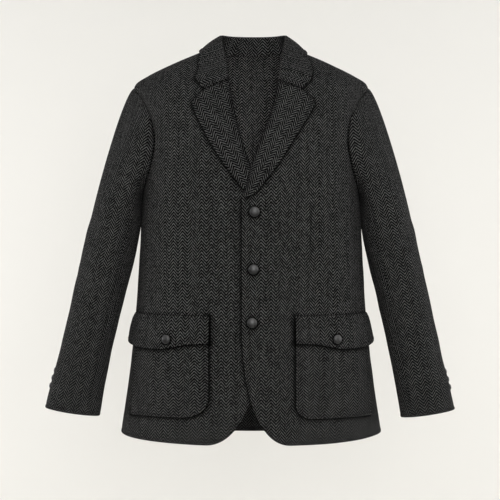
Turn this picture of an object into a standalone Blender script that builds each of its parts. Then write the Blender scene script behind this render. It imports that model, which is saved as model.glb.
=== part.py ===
"""Tweed hacking jacket, filled out and hollow, with one closed solid for each sewn piece.

Units are metres and +Z is up. The front faces -Y and +X is the wearer's left. The origin lies
at the base of the neck, level with the shoulders, where the wearer holds the jacket up. Body
pieces share one form, a stack of rounded sections. A place on it is an angle round the body
(0 at the wearer's left side, -90 degrees at the front, 90 at the back) and a height.
"""
from math import cos, degrees, pi, radians, sin
from typing import NamedTuple

import bmesh
import bpy
import numpy as np
from mathutils import Matrix, Vector

COLLECTION = "tweed_hacking_jacket"

# ---------------------------------------------------------------- cloth and seams
CLOTH = 0.0020              # thickness of one wall of tweed
FACED_CLOTH = 0.0022        # thickness of lapels and collar, which are faced
SEAM_TRIM = 0.0002          # each of two pieces stops this short of the seam between them
SLEEVE_CLEARANCE = 0.0004   # the sleeve's end stands this far inside the armhole
LAY_GAP = 0.0007            # air between a panel and what lies on it


class Section(NamedTuple):
    """One level section through the body."""

    height: float
    half_width: float
    front: float            # depth forward of the section's middle
    back: float             # depth behind it
    shift: float            # how far back the middle lies
    square: float           # 2 is an ellipse, more is squarer


BODY = [
    Section(-0.760, 0.2582, 0.1268, 0.1272, 0.000, 2.30),
    Section(-0.690, 0.2466, 0.1275, 0.1260, 0.000, 2.32),
    Section(-0.620, 0.2366, 0.1280, 0.1235, 0.000, 2.35),
    Section(-0.520, 0.2250, 0.1290, 0.1165, 0.000, 2.38),
    Section(-0.420, 0.2176, 0.1280, 0.1090, 0.000, 2.40),
    Section(-0.360, 0.2145, 0.1290, 0.1085, 0.000, 2.42),
    Section(-0.300, 0.2110, 0.1300, 0.1140, 0.000, 2.44),
    Section(-0.220, 0.2050, 0.1270, 0.1200, 0.000, 2.42),
    Section(-0.170, 0.2040, 0.1190, 0.1210, 0.001, 2.38),
    Section(-0.120, 0.2085, 0.1050, 0.1180, 0.002, 2.30),
    Section(-0.080, 0.2180, 0.0880, 0.1110, 0.003, 2.20),
    Section(-0.058, 0.2265, 0.0765, 0.1050, 0.003, 2.15),
    Section(-0.050, 0.2235, 0.0720, 0.1025, 0.004, 2.12),
    Section(-0.033, 0.1990, 0.0605, 0.0965, 0.004, 2.10),
    Section(-0.013, 0.1600, 0.0495, 0.0870, 0.006, 2.10),
    Section(-0.002, 0.1365, 0.0425, 0.0800, 0.007, 2.10),
    Section(0.010, 0.1080, 0.0340, 0.0720, 0.008, 2.10),
    Section(0.024, 0.0750, 0.0260, 0.0620, 0.009, 2.10),
]

# ---------------------------------------------------------------- edges of the body panels
HEM_SIDE = -0.7192          # height of the hem at the sides
FRONT_DIP = 0.0155          # the hem is this much lower at the front
BACK_DIP = 0.0175           # and at the back
DIP_CURVE = 1.3             # 2 is a soft dip, less is a fuller one
SIDE_SEAM = radians(10.0)   # just behind the wearer's side
SHOULDER_SEAM_NECK = radians(8.0)
SHOULDER_SEAM_ARM = radians(6.0)
NECK_POINT = 0.0220         # height of the shoulder seam's end at the neck
BACK_NECK = 0.0165          # height of the back panel's edge at the centre of the neck
ARMHOLE_TOP = -0.0550
ARMHOLE_BOTTOM = -0.2750
ARMHOLE_FRONT = radians(-30.5)
ARMHOLE_BACK = radians(33.0)

OVERLAP = 0.0167            # each front passes the centre line by this much
BREAK = -0.2760             # height where the lapel's roll starts, above the top button
GORGE = -0.0520             # height where the collar meets the roll
CUTAWAY_TOP = -0.5100       # the front edge curves away from here down
CUTAWAY_WIDTH = {1: 0.0920, -1: 0.1050}     # of the left front's corner and the right one's
CUTAWAY_POWER = 2.20        # roundness of the cut-away corner
CUTAWAY_SPLIT = 0.62        # share of the corner that belongs to the front edge
LAP_LIFT = LAY_GAP + CLOTH  # the left front lies on the right one
LAP_BREAK_LIFT = 0.0038     # and a little higher where the right lapel ends under it
LAP_BREAK_FADE = 0.065      # up and down from the right lapel's end
LAP_FULL = 0.024            # sideways reach of the full lift
LAP_END = 0.062             # and where it has died away
LAP_LOW_FROM = -0.7800      # below the cut-away corner the lift dies away too
LAP_LOW_TO = -0.6900


class EdgePoint(NamedTuple):
    """A place on the front of the body: height and distance from the centre line."""

    height: float
    aside: float


ROLL_LINE = [
    EdgePoint(BREAK, -OVERLAP),
    EdgePoint(-0.2500, -0.0050),
    EdgePoint(-0.2240, 0.0010),
    EdgePoint(-0.1900, 0.0125),
    EdgePoint(-0.1385, 0.0290),
    EdgePoint(-0.0850, 0.0435),
    EdgePoint(GORGE, 0.0475),
]
NECKLINE = [
    EdgePoint(GORGE, 0.0475),
    EdgePoint(-0.0260, 0.0545),
    EdgePoint(-0.0020, 0.0615),
    EdgePoint(0.0125, 0.0680),
    EdgePoint(0.0190, 0.0740),
]
NECK_LEAN = 0.0045          # the neck opening lies this far to the wearer's left
NECK_LEAN_FROM = -0.1800    # and hangs straight below this height
NECK_LEAN_TO = -0.0800


class Fold(NamedTuple):
    """A soft ridge (or a trough, where depth is negative) in a panel."""

    angle: float            # degrees round the body
    height: float           # middle of the fold
    length: float
    width: float            # degrees
    lean: float             # degrees per metre of height
    depth: float


BODY_FOLDS = [
    Fold(-58.0, -0.700, 0.150, 11.0, -30.0, 0.0040),
    Fold(-28.0, -0.715, 0.170, 10.0, 20.0, -0.0040),
    Fold(-122.0, -0.700, 0.160, 12.0, 30.0, 0.0035),
    Fold(-151.0, -0.715, 0.180, 10.0, -20.0, -0.0045),
    Fold(52.0, -0.690, 0.200, 12.0, 15.0, 0.0045),
    Fold(90.0, -0.700, 0.220, 13.0, 0.0, -0.0040),
    Fold(130.0, -0.690, 0.190, 12.0, -15.0, 0.0050),
    Fold(38.0, -0.400, 0.160, 12.0, 60.0, -0.0035),
    Fold(143.0, -0.410, 0.150, 12.0, -60.0, -0.0030),
    Fold(58.0, -0.180, 0.130, 10.0, 40.0, 0.0030),
    Fold(121.0, -0.175, 0.120, 10.0, -40.0, 0.0035),
]


class Dart(NamedTuple):
    """A dart: a shallow crease that shapes the front."""

    aside: float
    top: float
    bottom: float
    depth: float


FRONT_DART = Dart(0.1120, -0.290, -0.480, 0.0022)
DART_WIDTH = 0.012


# ---------------------------------------------------------------- curves through tables
def smooth(knots, values, at):
    """Value of a curve through a table's points that never overshoots them."""
    knots = np.asarray(knots, float)
    values = np.asarray(values, float)
    at = np.asarray(at, float)
    steps = np.diff(knots)
    rises = np.diff(values) / steps
    slopes = np.zeros_like(values)
    same_way = rises[:-1] * rises[1:] > 0
    before = np.where(same_way, rises[:-1], 1.0)
    after = np.where(same_way, rises[1:], 1.0)
    near = 2 * steps[1:] + steps[:-1]
    far = steps[1:] + 2 * steps[:-1]
    slopes[1:-1] = np.where(same_way, (near + far) / (near / before + far / after), 0.0)
    slopes[0] = rises[0]
    slopes[-1] = rises[-1]
    cell = np.clip(np.searchsorted(knots, at) - 1, 0, len(steps) - 1)
    part = (at - knots[cell]) / steps[cell]
    rise = part * part * (3 - 2 * part)
    return (values[cell] * (1 - rise) + values[cell + 1] * rise
            + steps[cell] * slopes[cell] * part * (1 - part) ** 2
            - steps[cell] * slopes[cell + 1] * part * part * (1 - part))


def ease(low, high, value):
    """0 below low, 1 above high, and a soft step between."""
    part = np.clip((value - low) / (high - low), 0.0, 1.0)
    return part * part * (3 - 2 * part)


def unit(vectors):
    """Vectors of length one."""
    return vectors / np.linalg.norm(vectors, axis=-1, keepdims=True)


# ---------------------------------------------------------------- the body's form
def body_column(name, height):
    """A column of the body's table at a height."""
    column = [getattr(section, name) for section in BODY]
    return smooth([section.height for section in BODY], column, height)


def body_surface(angle, height):
    """Point of the body's outer surface."""
    across, along = np.cos(angle), np.sin(angle)
    square = body_column("square", height)
    reach = (np.abs(across) ** square + np.abs(along) ** square) ** (-1.0 / square)
    depth = np.where(along < 0, body_column("front", height), body_column("back", height))
    x = body_column("half_width", height) * across * reach
    y = body_column("shift", height) + depth * along * reach
    return np.stack([x, y, height + 0.0 * x], axis=-1)


def body_normal(angle, height):
    """Outward direction of the body's surface."""
    step = 0.0005
    round_body = body_surface(angle + step, height) - body_surface(angle - step, height)
    upward = body_surface(angle, height + step) - body_surface(angle, height - step)
    return unit(np.cross(round_body, upward))


def fold_lift(angle, height):
    """How far the folds and darts move the cloth out."""
    turn = np.degrees(angle)
    lift = 0.0 * turn
    for fold in BODY_FOLDS:
        off_line = turn - fold.angle - fold.lean * (height - fold.height)
        near = np.exp(-(off_line / fold.width) ** 2)
        lift = lift + fold.depth * near * np.exp(-((height - fold.height) / fold.length * 2) ** 2)
    aside = np.abs(body_surface(angle, height)[..., 0])
    middle = (FRONT_DART.top + FRONT_DART.bottom) / 2
    reach = (FRONT_DART.top - FRONT_DART.bottom) / 2
    along = np.clip(1 - ((height - middle) / reach) ** 2, 0, 1)
    across = np.exp(-((aside - FRONT_DART.aside) / DART_WIDTH) ** 2)
    return lift - FRONT_DART.depth * along * across * (np.sin(angle) < 0)


def laid(angle, height, lift):
    """Point at a lift above the body's surface, over its folds."""
    angle = np.asarray(angle, float)
    height = np.asarray(height, float)
    out = np.asarray(lift, float) + fold_lift(angle, height)
    return body_surface(angle, height) + body_normal(angle, height) * out[..., None]


def front_angle(aside, height):
    """Angle of the place on the front that lies aside of the centre line."""
    square = body_column("square", height)
    share = np.asarray(aside, float) / body_column("half_width", height)
    forward = (1 - np.minimum(np.abs(share), 1.0) ** square) ** (1.0 / square)
    return np.arctan2(-forward, share)


def hem_height(angle):
    """Height of the hem round the body."""
    dip = np.where(np.sin(angle) < 0, FRONT_DIP, BACK_DIP)
    return HEM_SIDE - dip * np.abs(np.sin(angle)) ** DIP_CURVE


def armhole(turn):
    """Angle and height on the armhole; turn is 0 at its top, -90 degrees at its front."""
    middle = (SHOULDER_SEAM_ARM + SIDE_SEAM) / 2
    drift = (SHOULDER_SEAM_ARM - SIDE_SEAM) / 2
    reach = np.where(np.sin(turn) < 0, middle - ARMHOLE_FRONT, ARMHOLE_BACK - middle)
    angle = middle + drift * np.cos(turn) + reach * np.sin(turn)
    tall = (ARMHOLE_TOP - ARMHOLE_BOTTOM) / 2
    height = (ARMHOLE_TOP + ARMHOLE_BOTTOM) / 2 + tall * np.cos(turn)
    return angle, height


# ---------------------------------------------------------------- solids from skins
def material(name, colour, roughness):
    """A Principled material."""
    finish = bpy.data.materials.new(name)
    finish.use_nodes = True
    shader = finish.node_tree.nodes["Principled BSDF"]
    shader.inputs["Base Color"].default_value = (*colour, 1.0)
    shader.inputs["Roughness"].default_value = roughness
    return finish


def add_object(name, mesh, finish):
    """Link a mesh to the jacket's collection under a name."""
    piece = bpy.data.objects.new(name, mesh)
    bpy.data.collections[COLLECTION].objects.link(piece)
    mesh.materials.append(finish)
    return piece


def cloth_piece(name, outer, inner, finish):
    """A closed wall between two skins, given as rows of points: a grid, thickened and formed."""
    rows = outer.shape[0] - 1
    columns = outer.shape[1] - 1
    shell = bmesh.new()
    bmesh.ops.create_grid(shell, x_segments=columns, y_segments=rows, size=0.5)
    doubled = bmesh.ops.extrude_face_region(shell, geom=shell.faces[:], use_keep_orig=True)
    second = {item for item in doubled["geom"] if isinstance(item, bmesh.types.BMVert)}
    for vertex in shell.verts:
        column = round((vertex.co.x + 0.5) * columns)
        row = round((vertex.co.y + 0.5) * rows)
        skin = inner if vertex in second else outer
        vertex.co = Vector(skin[row, column])
    bmesh.ops.recalc_face_normals(shell, faces=shell.faces[:])
    if shell.calc_volume(signed=True) < 0:
        bmesh.ops.reverse_faces(shell, faces=shell.faces[:])
    mesh = bpy.data.meshes.new(name)
    shell.to_mesh(mesh)
    shell.free()
    mesh.shade_smooth()
    mesh.set_sharp_from_angle(angle=radians(50))
    return add_object(name, mesh, finish)


def trimmed(skin, *edges, by=SEAM_TRIM):
    """The skin, drawn in a little at its first or last rows or columns."""
    skin = skin.copy()
    if "first_row" in edges:
        skin[0] += unit(skin[1] - skin[0]) * by
    if "last_row" in edges:
        skin[-1] += unit(skin[-2] - skin[-1]) * by
    if "first_column" in edges:
        skin[:, 0] += unit(skin[:, 1] - skin[:, 0]) * by
    if "last_column" in edges:
        skin[:, -1] += unit(skin[:, -2] - skin[:, -1]) * by
    return skin


def spread(first_row, last_row, first_column, last_column, hold=1):
    """Places between four edges that share their corners; hold keeps the last row's to itself."""
    down = np.linspace(0, 1, len(first_column))[:, None, None]
    across = np.linspace(0, 1, len(first_row))[None, :, None]
    between = (1 - across) * first_column[:, None] + across * last_column[:, None]
    bow_first = first_row - ((1 - across[0]) * first_row[0] + across[0] * first_row[-1])
    bow_last = last_row - ((1 - across[0]) * last_row[0] + across[0] * last_row[-1])
    return between + (1 - down) * bow_first + down ** hold * bow_last


def side_angle(angle, side):
    """The angle on the wearer's left, or its mirror image on the right."""
    return angle if side > 0 else pi - angle


def body_piece(name, places, side, lift, finish, edges, thickness=CLOTH):
    """A panel of the body: places are angles and heights, and lift is the outer skin's."""
    angle = side_angle(places[..., 0], side)
    height = places[..., 1]
    outer = trimmed(laid(angle, height, lift), *edges)
    inner = trimmed(laid(angle, height, lift - thickness), *edges)
    return cloth_piece(name, outer, inner, finish)


# ---------------------------------------------------------------- body panels
ROWS_BELOW = 14             # rows of cells between the hem and the armhole
ROWS_BESIDE = 12            # and beside the armhole
FRONT_COLUMNS = 14
SHOULDER_COLUMNS = 6        # of the back
NECK_COLUMNS = 12
SHOULDER_HOLD = 6           # columns gather at the back's shoulder seams only near the top
HEM_GATHER = 1.4            # columns lie closer at the cut-away corner
BREAK_ROW_RISE = 0.012      # the row of cells above the break starts this much over it


def back_neck(angle):
    """Height of the back panel's edge at the neck."""
    return NECK_POINT + (BACK_NECK - NECK_POINT) * np.sin(angle) ** 0.5


def neck_lean(height, side):
    """How far a side's neck edge moves away from the centre line."""
    return side * NECK_LEAN * ease(NECK_LEAN_FROM, NECK_LEAN_TO, height)


def cutaway_rise(aside, side):
    """Height of the rounded corner over the hem at a distance from the centre line."""
    tall = CUTAWAY_TOP - (HEM_SIDE - FRONT_DIP)
    share = np.clip((aside + OVERLAP) / CUTAWAY_WIDTH[side], 0.0, 1.0)
    return tall * (1 - (1 - (1 - share) ** CUTAWAY_POWER) ** (1 / CUTAWAY_POWER))


def front_edge(height, side):
    """Distance of the front's free edge, roll line or neckline from the centre line."""
    tall = CUTAWAY_TOP - (HEM_SIDE - FRONT_DIP)
    share = np.clip((CUTAWAY_TOP - height) / tall, 0.0, 1.0)
    inward = 1 - (1 - share ** CUTAWAY_POWER) ** (1 / CUTAWAY_POWER)
    corner = CUTAWAY_WIDTH[side] * inward - OVERLAP
    line = ROLL_LINE + NECKLINE[1:]
    opening = smooth([point.height for point in line], [point.aside for point in line], height)
    return np.where(height < BREAK, corner, opening + neck_lean(height, side))


def lap(angle, height, side):
    """Lift of the left front where it lies over the right one."""
    if side < 0:
        return 0.0 * angle
    aside = body_surface(angle, height)[..., 0]
    near = 1 - ease(LAP_FULL, LAP_END, aside)
    low = ease(LAP_LOW_FROM, LAP_LOW_TO, height)
    bump = (ease(BREAK - LAP_BREAK_FADE, BREAK, height)
            * (1 - ease(ROLL_LINE[2].height, ROLL_LINE[2].height + LAP_BREAK_FADE, height)))
    return near * (LAP_LIFT * low + LAP_BREAK_LIFT * bump)


def front_places(side):
    """Angles and heights over a front, in rows from the hem up."""
    corner = CUTAWAY_SPLIT * pi / 2
    tall = CUTAWAY_TOP - (HEM_SIDE - FRONT_DIP)
    corner_height = CUTAWAY_TOP - tall * sin(corner) ** (2 / CUTAWAY_POWER)
    shoulder = np.array([SHOULDER_SEAM_ARM, ARMHOLE_TOP])
    neck = np.array([SHOULDER_SEAM_NECK, NECK_POINT])
    edge_heights = np.concatenate([
        np.linspace(corner_height, BREAK + BREAK_ROW_RISE, ROWS_BELOW + 1)[:-1],
        np.linspace(BREAK + BREAK_ROW_RISE, NECKLINE[-1].height, ROWS_BESIDE),
    ])
    edge_angles = front_angle(front_edge(edge_heights, side), edge_heights)
    edge = np.vstack([np.stack([edge_angles, edge_heights], axis=-1), neck])
    seam_heights = np.linspace(hem_height(SIDE_SEAM), ARMHOLE_BOTTOM, ROWS_BELOW + 1)
    seam = np.stack([np.full_like(seam_heights, SIDE_SEAM), seam_heights], axis=-1)
    turns = np.linspace(-pi, 0, ROWS_BESIDE + 1)[1:]
    outside = np.vstack([seam, np.stack(armhole(turns), axis=-1)])
    hem_share = np.linspace(0, 1, FRONT_COLUMNS + 1) ** HEM_GATHER
    angles = edge_angles[0] + (SIDE_SEAM - edge_angles[0]) * hem_share
    heights = hem_height(angles)
    heights = heights + cutaway_rise(body_surface(angles, heights)[..., 0], side)
    heights[0] = corner_height
    hem = np.stack([angles, heights], axis=-1)
    seam_share = np.linspace(0, 1, FRONT_COLUMNS + 1)[:, None]
    return spread(hem, neck + (shoulder - neck) * seam_share, edge, outside)


def build_fronts(finish):
    """The two fronts; the wearer's left one lies over the right."""
    for name, side in (("front_left", 1), ("front_right", -1)):
        places = front_places(side)
        lift = lap(side_angle(places[..., 0], side), places[..., 1], side)
        body_piece(name, places, side, lift, finish, ["last_row", "last_column"])


def build_back(finish):
    """The back, in one piece from side seam to side seam."""
    seam_heights = np.linspace(hem_height(SIDE_SEAM), ARMHOLE_BOTTOM, ROWS_BELOW + 1)
    seam = np.stack([np.full_like(seam_heights, SIDE_SEAM), seam_heights], axis=-1)
    turns = np.linspace(pi, 0, ROWS_BESIDE + 1)[1:]
    left = np.vstack([seam, np.stack(armhole(turns), axis=-1)])
    right = left * [-1, 1] + [pi, 0]
    columns = 2 * SHOULDER_COLUMNS + NECK_COLUMNS
    angles = np.linspace(SIDE_SEAM, pi - SIDE_SEAM, columns + 1)
    hem = np.stack([angles, hem_height(angles)], axis=-1)
    shoulder = np.array([SHOULDER_SEAM_ARM, ARMHOLE_TOP])
    neck = np.array([SHOULDER_SEAM_NECK, NECK_POINT])
    seam_share = np.linspace(0, 1, SHOULDER_COLUMNS + 1)[:, None]
    left_shoulder = shoulder + (neck - shoulder) * seam_share
    right_shoulder = (left_shoulder * [-1, 1] + [pi, 0])[::-1]
    neck_angles = np.linspace(SHOULDER_SEAM_NECK, pi - SHOULDER_SEAM_NECK, NECK_COLUMNS + 1)[1:-1]
    neck_edge = np.stack([neck_angles, back_neck(neck_angles)], axis=-1)
    top = np.vstack([left_shoulder, neck_edge, right_shoulder])
    places = spread(hem, top, left, right, hold=SHOULDER_HOLD)
    body_piece("back", places, 1, 0.0, finish, ["last_row", "first_column", "last_column"])


# ---------------------------------------------------------------- sleeves
class ArmRing(NamedTuple):
    """One section across a sleeve below the armhole."""

    height: float
    out: float              # distance of its middle from the body's middle plane
    fore: float             # how far back its middle lies
    half_width: float
    half_depth: float


ARM = [
    ArmRing(-0.310, 0.2606, 0.002, 0.0488, 0.0720),
    ArmRing(-0.363, 0.2722, 0.004, 0.0506, 0.0690),
    ArmRing(-0.460, 0.2953, 0.005, 0.0496, 0.0620),
    ArmRing(-0.557, 0.3168, -0.003, 0.0490, 0.0530),
    ArmRing(-0.654, 0.3369, -0.015, 0.0517, 0.0440),
    ArmRing(-0.684, 0.3428, -0.019, 0.0527, 0.0415),
]
ARM_SPREAD = {1: -0.0020, -1: 0.0012}      # the right cuff hangs farther out than the left
ARM_RISE = {1: 0.0000, -1: 0.0030}         # and a little higher
CUFF_TILT = radians(8.8)
HEAD_ROWS = 8
ARM_ROWS = 13
TURNS = 24                  # cells round a sleeve, half of them on each side of its top
FOREARM_SEAM = -8           # cells from the top of the armhole to each seam
HIND_SEAM = 7
HIND_SEAM_CUFF = radians(22.0)      # turn of each seam at the cuff
FOREARM_SEAM_CUFF = radians(-128.0)
SEAM_SWING = 1.4            # the seams swing round faster towards the cuff
HEAD_GATHER = 1.25          # rows of cells lie closer near the armhole


class Crease(NamedTuple):
    """A soft crease across a sleeve."""

    turn: float             # degrees round the sleeve, 0 outward and -90 forward
    height: float
    width: float            # degrees
    length: float
    lean: float             # metres of height for each degree
    depth: float


ARM_CREASES = [
    Crease(-80.0, -0.455, 45.0, 0.016, 0.0004, -0.0030),
    Crease(-95.0, -0.505, 50.0, 0.018, -0.0003, -0.0035),
    Crease(95.0, -0.480, 45.0, 0.020, 0.0004, -0.0030),
    Crease(-60.0, -0.350, 40.0, 0.022, 0.0006, -0.0030),
    Crease(100.0, -0.340, 45.0, 0.022, -0.0005, -0.0035),
    Crease(-70.0, -0.590, 40.0, 0.022, 0.0003, -0.0025),
]


def arm_middle(height, side):
    """Middle of the sleeve at a height, on the wearer's left."""
    knots = [ring.height for ring in ARM][::-1]
    out = smooth(knots, [ring.out for ring in ARM][::-1], height)
    fore = smooth(knots, [ring.fore for ring in ARM][::-1], height)
    reach = (ARM[0].height - height) / (ARM[0].height - ARM[-1].height)
    level = height + ARM_RISE[side] * reach ** 2
    return np.stack([out + ARM_SPREAD[side] * reach, fore, level], axis=-1)


def arm_point(turn, height, side):
    """Point of the sleeve's outer skin on the ring whose middle is at a height."""
    knots = [ring.height for ring in ARM][::-1]
    half_width = smooth(knots, [ring.half_width for ring in ARM][::-1], height)
    half_depth = smooth(knots, [ring.half_depth for ring in ARM][::-1], height)
    step = 0.004
    slope = arm_middle(height - step, side) - arm_middle(height + step, side)
    tilt = np.arctan2(slope[..., 0], -slope[..., 2])
    near_cuff = 1 - ease(ARM[-1].height, ARM[-2].height, height)
    tilt = tilt + (CUFF_TILT - tilt) * near_cuff
    lift = 0.0 * turn
    for crease in ARM_CREASES:
        degrees_off = (np.degrees(turn) - crease.turn + 180) % 360 - 180
        level = height - crease.height - crease.lean * degrees_off
        lift = lift + (crease.depth * np.exp(-(degrees_off / crease.width) ** 2)
                       * np.exp(-(level / crease.length) ** 2))
    across = (half_width + lift) * np.cos(turn)
    middle = arm_middle(height, side)
    x = middle[..., 0] + across * np.cos(tilt)
    y = middle[..., 1] + (half_depth + lift) * np.sin(turn)
    z = middle[..., 2] + across * np.sin(tilt)
    return np.stack([x, y, z], axis=-1)


HEAD_DROP = radians(12.0)       # the sleeve leaves the shoulder at this slope
HEAD_FULLNESS = 0.20            # and bulges this much to the front and back
HEAD_START = (0.22, 0.16)       # pull of the armhole on the sleeve: at the top, and added below
HEAD_END = (0.80, 0.00)         # pull of the arm, likewise


def armhole_rim(turn, side):
    """Outer edge of the armhole, as if it were on the wearer's left."""
    angle, height = armhole(turn)
    return laid(side_angle(angle, side), height, 0.0 * height) * [side, 1, 1]


def sleeve_start(turn, side):
    """First edge of the sleeve, just inside the armhole's rim."""
    step = 0.01
    angle, height = armhole(turn)
    along = unit(armhole_rim(turn + step, side) - armhole_rim(turn - step, side))
    outward = body_normal(side_angle(angle, side), height) * [side, 1, 1]
    inward = unit(np.cross(outward, along))
    centre = armhole_rim(np.array([0.0, pi]), side).mean(axis=0)
    towards = centre - armhole_rim(turn, side)
    inward = inward * np.sign(np.sum(inward * towards, axis=-1, keepdims=True))
    return armhole_rim(turn, side) + inward * SLEEVE_CLEARANCE


def sleeve_point(turn, reach, side):
    """Point of a left sleeve's outer skin; reach is 0 at the armhole, 1 below it, 2 at the cuff."""
    step = 0.002
    low = 1 - np.cos(turn)
    start = sleeve_start(turn, side)
    top = np.full_like(turn, ARM[0].height)
    end = arm_point(turn, top, side)
    arm_way = unit(arm_point(turn, top - step, side) - end)
    drop = np.tan(HEAD_DROP) * (0.5 + 0.5 * np.cos(turn)) ** 2
    head_way = unit(np.stack([np.ones_like(turn), HEAD_FULLNESS * np.sin(turn), -drop], axis=-1))
    chord = np.linalg.norm(end - start, axis=-1)
    pull_out = (chord * (HEAD_START[0] + HEAD_START[1] * low))[..., None] * head_way
    pull_down = (chord * (HEAD_END[0] + HEAD_END[1] * low))[..., None] * arm_way
    part = np.clip(reach, 0.0, 1.0)[..., None]
    rise = part * part * (3 - 2 * part)
    head = (start * (1 - rise) + end * rise + pull_out * part * (1 - part) ** 2
            - pull_down * part * part * (1 - part))
    height = ARM[0].height + (ARM[-1].height - ARM[0].height) * np.clip(reach - 1, 0.0, 1.1)
    return np.where(reach[..., None] < 1, head, arm_point(turn, height, side))


def sleeve_skins(turn, reach, side):
    """Outer and inner skins of a left sleeve over a grid of places."""
    step = 0.002
    point = sleeve_point(turn, reach, side)
    round_arm = sleeve_point(turn + step, reach, side) - sleeve_point(turn - step, reach, side)
    down_arm = sleeve_point(turn, reach + step, side) - point
    inward = unit(np.cross(round_arm, down_arm))
    return point, point + inward * CLOTH


def seam_turn(cell, reach):
    """Turn of one of the two sleeve seams at a reach."""
    cuff = HIND_SEAM_CUFF if cell == HIND_SEAM else FOREARM_SEAM_CUFF
    armhole_turn = cell * 2 * pi / TURNS
    return armhole_turn + (cuff - armhole_turn) * (reach / 2) ** SEAM_SWING


def build_sleeves(finish):
    """Both sleeves, each an upper and an under piece."""
    reaches = np.concatenate([
        np.linspace(0, 1, HEAD_ROWS + 1)[:-1] ** HEAD_GATHER,
        np.linspace(1, 2, ARM_ROWS + 1),
    ])
    forearm = seam_turn(FOREARM_SEAM, reaches)
    hind = seam_turn(HIND_SEAM, reaches)
    pieces = (
        ("sleeve_upper", forearm, hind, HIND_SEAM - FOREARM_SEAM),
        ("sleeve_under", hind, forearm + 2 * pi, TURNS - HIND_SEAM + FOREARM_SEAM),
    )
    for label, side in (("left", 1), ("right", -1)):
        for kind, first, last, columns in pieces:
            across = np.linspace(0, 1, columns + 1)[None, :]
            turn = first[:, None] + (last - first)[:, None] * across
            reach = np.repeat(reaches[:, None], columns + 1, axis=1)
            edges = ["first_column", "last_column"]
            outer, inner = (trimmed(skin, *edges) * [side, 1, 1]
                            for skin in sleeve_skins(turn, reach, side))
            cloth_piece(f"{kind}_{label}", outer, inner, finish)


# ---------------------------------------------------------------- collar
class CollarCut(NamedTuple):
    """A cut across half the collar: where it meets the neck edge, folds and ends."""

    neck: float             # behind the shoulder an angle in degrees, in front of it a height
    fold_aside: float
    fold_back: float
    fold_height: float
    edge_angle: float       # degrees
    edge_height: float
    turn: float             # degrees by which the edge moves with the lean of the neck opening
    drop: float             # and metres by which it sinks


COLLAR_BEHIND = [
    CollarCut(90.0, 0.0000, 0.0690, 0.0525, 90.0, 0.0030, 0.0, 0.0),
    CollarCut(72.0, 0.0235, 0.0670, 0.0525, 72.0, 0.0034, 0.0, 0.0),
    CollarCut(53.0, 0.0430, 0.0565, 0.0520, 54.0, 0.0048, 0.0, 0.0),
    CollarCut(33.0, 0.0575, 0.0385, 0.0512, 31.0, 0.0088, 0.0, 0.0006),
    CollarCut(9.0, 0.0636, 0.0180, 0.0484, 10.0, 0.0122, -1.5, 0.0016),
]
COLLAR_BEFORE = [
    CollarCut(0.0185, 0.0634, 0.0060, 0.0400, -10.0, 0.0124, 0.0, 0.0020),
    CollarCut(0.0110, 0.0602, -0.0110, 0.0250, -36.0, 0.0030, 2.8, 0.0009),
    CollarCut(-0.0040, 0.0560, -0.0330, 0.0060, -53.9, -0.0228, 3.4, -0.0007),
    CollarCut(-0.0270, 0.0515, -0.0580, -0.0240, -59.9, -0.0427, 1.3, 0.0004),
]
COLLAR_NOTCH = [
    COLLAR_BEFORE[-1],      # the tip of the collar
    CollarCut(-0.0470, 0.0468, -0.0715, -0.0455, -66.7, -0.0666, 1.15, -0.0003),
]
FOLD_RADIUS = 0.0030        # of the collar's outer skin round its fold
FALL_BULGE = 0.0020         # the fall bows out this much
STAND_GAP = 0.0016          # between the foot of the stand and the panels inside which it stands
COLLAR_GAP = 0.0016         # between the fall's edge and the panels
RIDGE_GAP = 0.0022          # added to both where the collar bends sharply over the shoulder,
RIDGE_ANGLE = 6.0           # at this many degrees round the body
RIDGE_WIDTH = 22.0
COLLAR_STEPS = 2            # cuts made between each two of a table's
FOLD_SHARES = (0.0, 0.33, 0.67, 1.0)    # places round the fold, from stand to fall
FALL_SHARES = (0.33, 0.67)              # places down the fall


def ridge_gap(angle):
    """Extra room round the sharp bend over the shoulder."""
    return RIDGE_GAP * np.exp(-((degrees(angle) - RIDGE_ANGLE) / RIDGE_WIDTH) ** 2)


def collar_profile(neck, fold, edge, edge_out, inset):
    """The outer skin's points from the neck seam over the fold to the edge, and their normals."""
    level = edge - fold
    level[2] = 0.0
    aside = level / np.linalg.norm(level)
    up = np.array([0.0, 0.0, 1.0])
    centre = fold - up * FOLD_RADIUS
    foot = neck - aside * inset
    stand = centre - foot
    stand_out = np.cross(np.cross(aside, up), stand)
    stand_out /= np.linalg.norm(stand_out)
    if stand_out @ aside > 0:
        stand_out = -stand_out
    points = [foot, (foot + centre + stand_out * FOLD_RADIUS) / 2]
    normals = [-aside, stand_out]
    fall = edge - centre
    fall_out = np.cross(fall, np.cross(aside, up))
    fall_out /= np.linalg.norm(fall_out)
    if fall_out @ aside < 0:
        fall_out = -fall_out
    for share in FOLD_SHARES:
        way = stand_out * (1 - share) + fall_out * share + up * sin(share * pi)
        way = way / np.linalg.norm(way)
        points.append(centre + way * FOLD_RADIUS)
        normals.append(way)
    start = centre + fall_out * FOLD_RADIUS
    for share in FALL_SHARES:
        bow = FALL_BULGE * sin(share * pi)
        points.append(start + (edge - start) * share + fall_out * bow)
        normals.append(unit(fall_out * (1 - share) + edge_out * share))
    points.append(edge)
    normals.append(edge_out)
    return np.array(points), np.array(normals)


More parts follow.
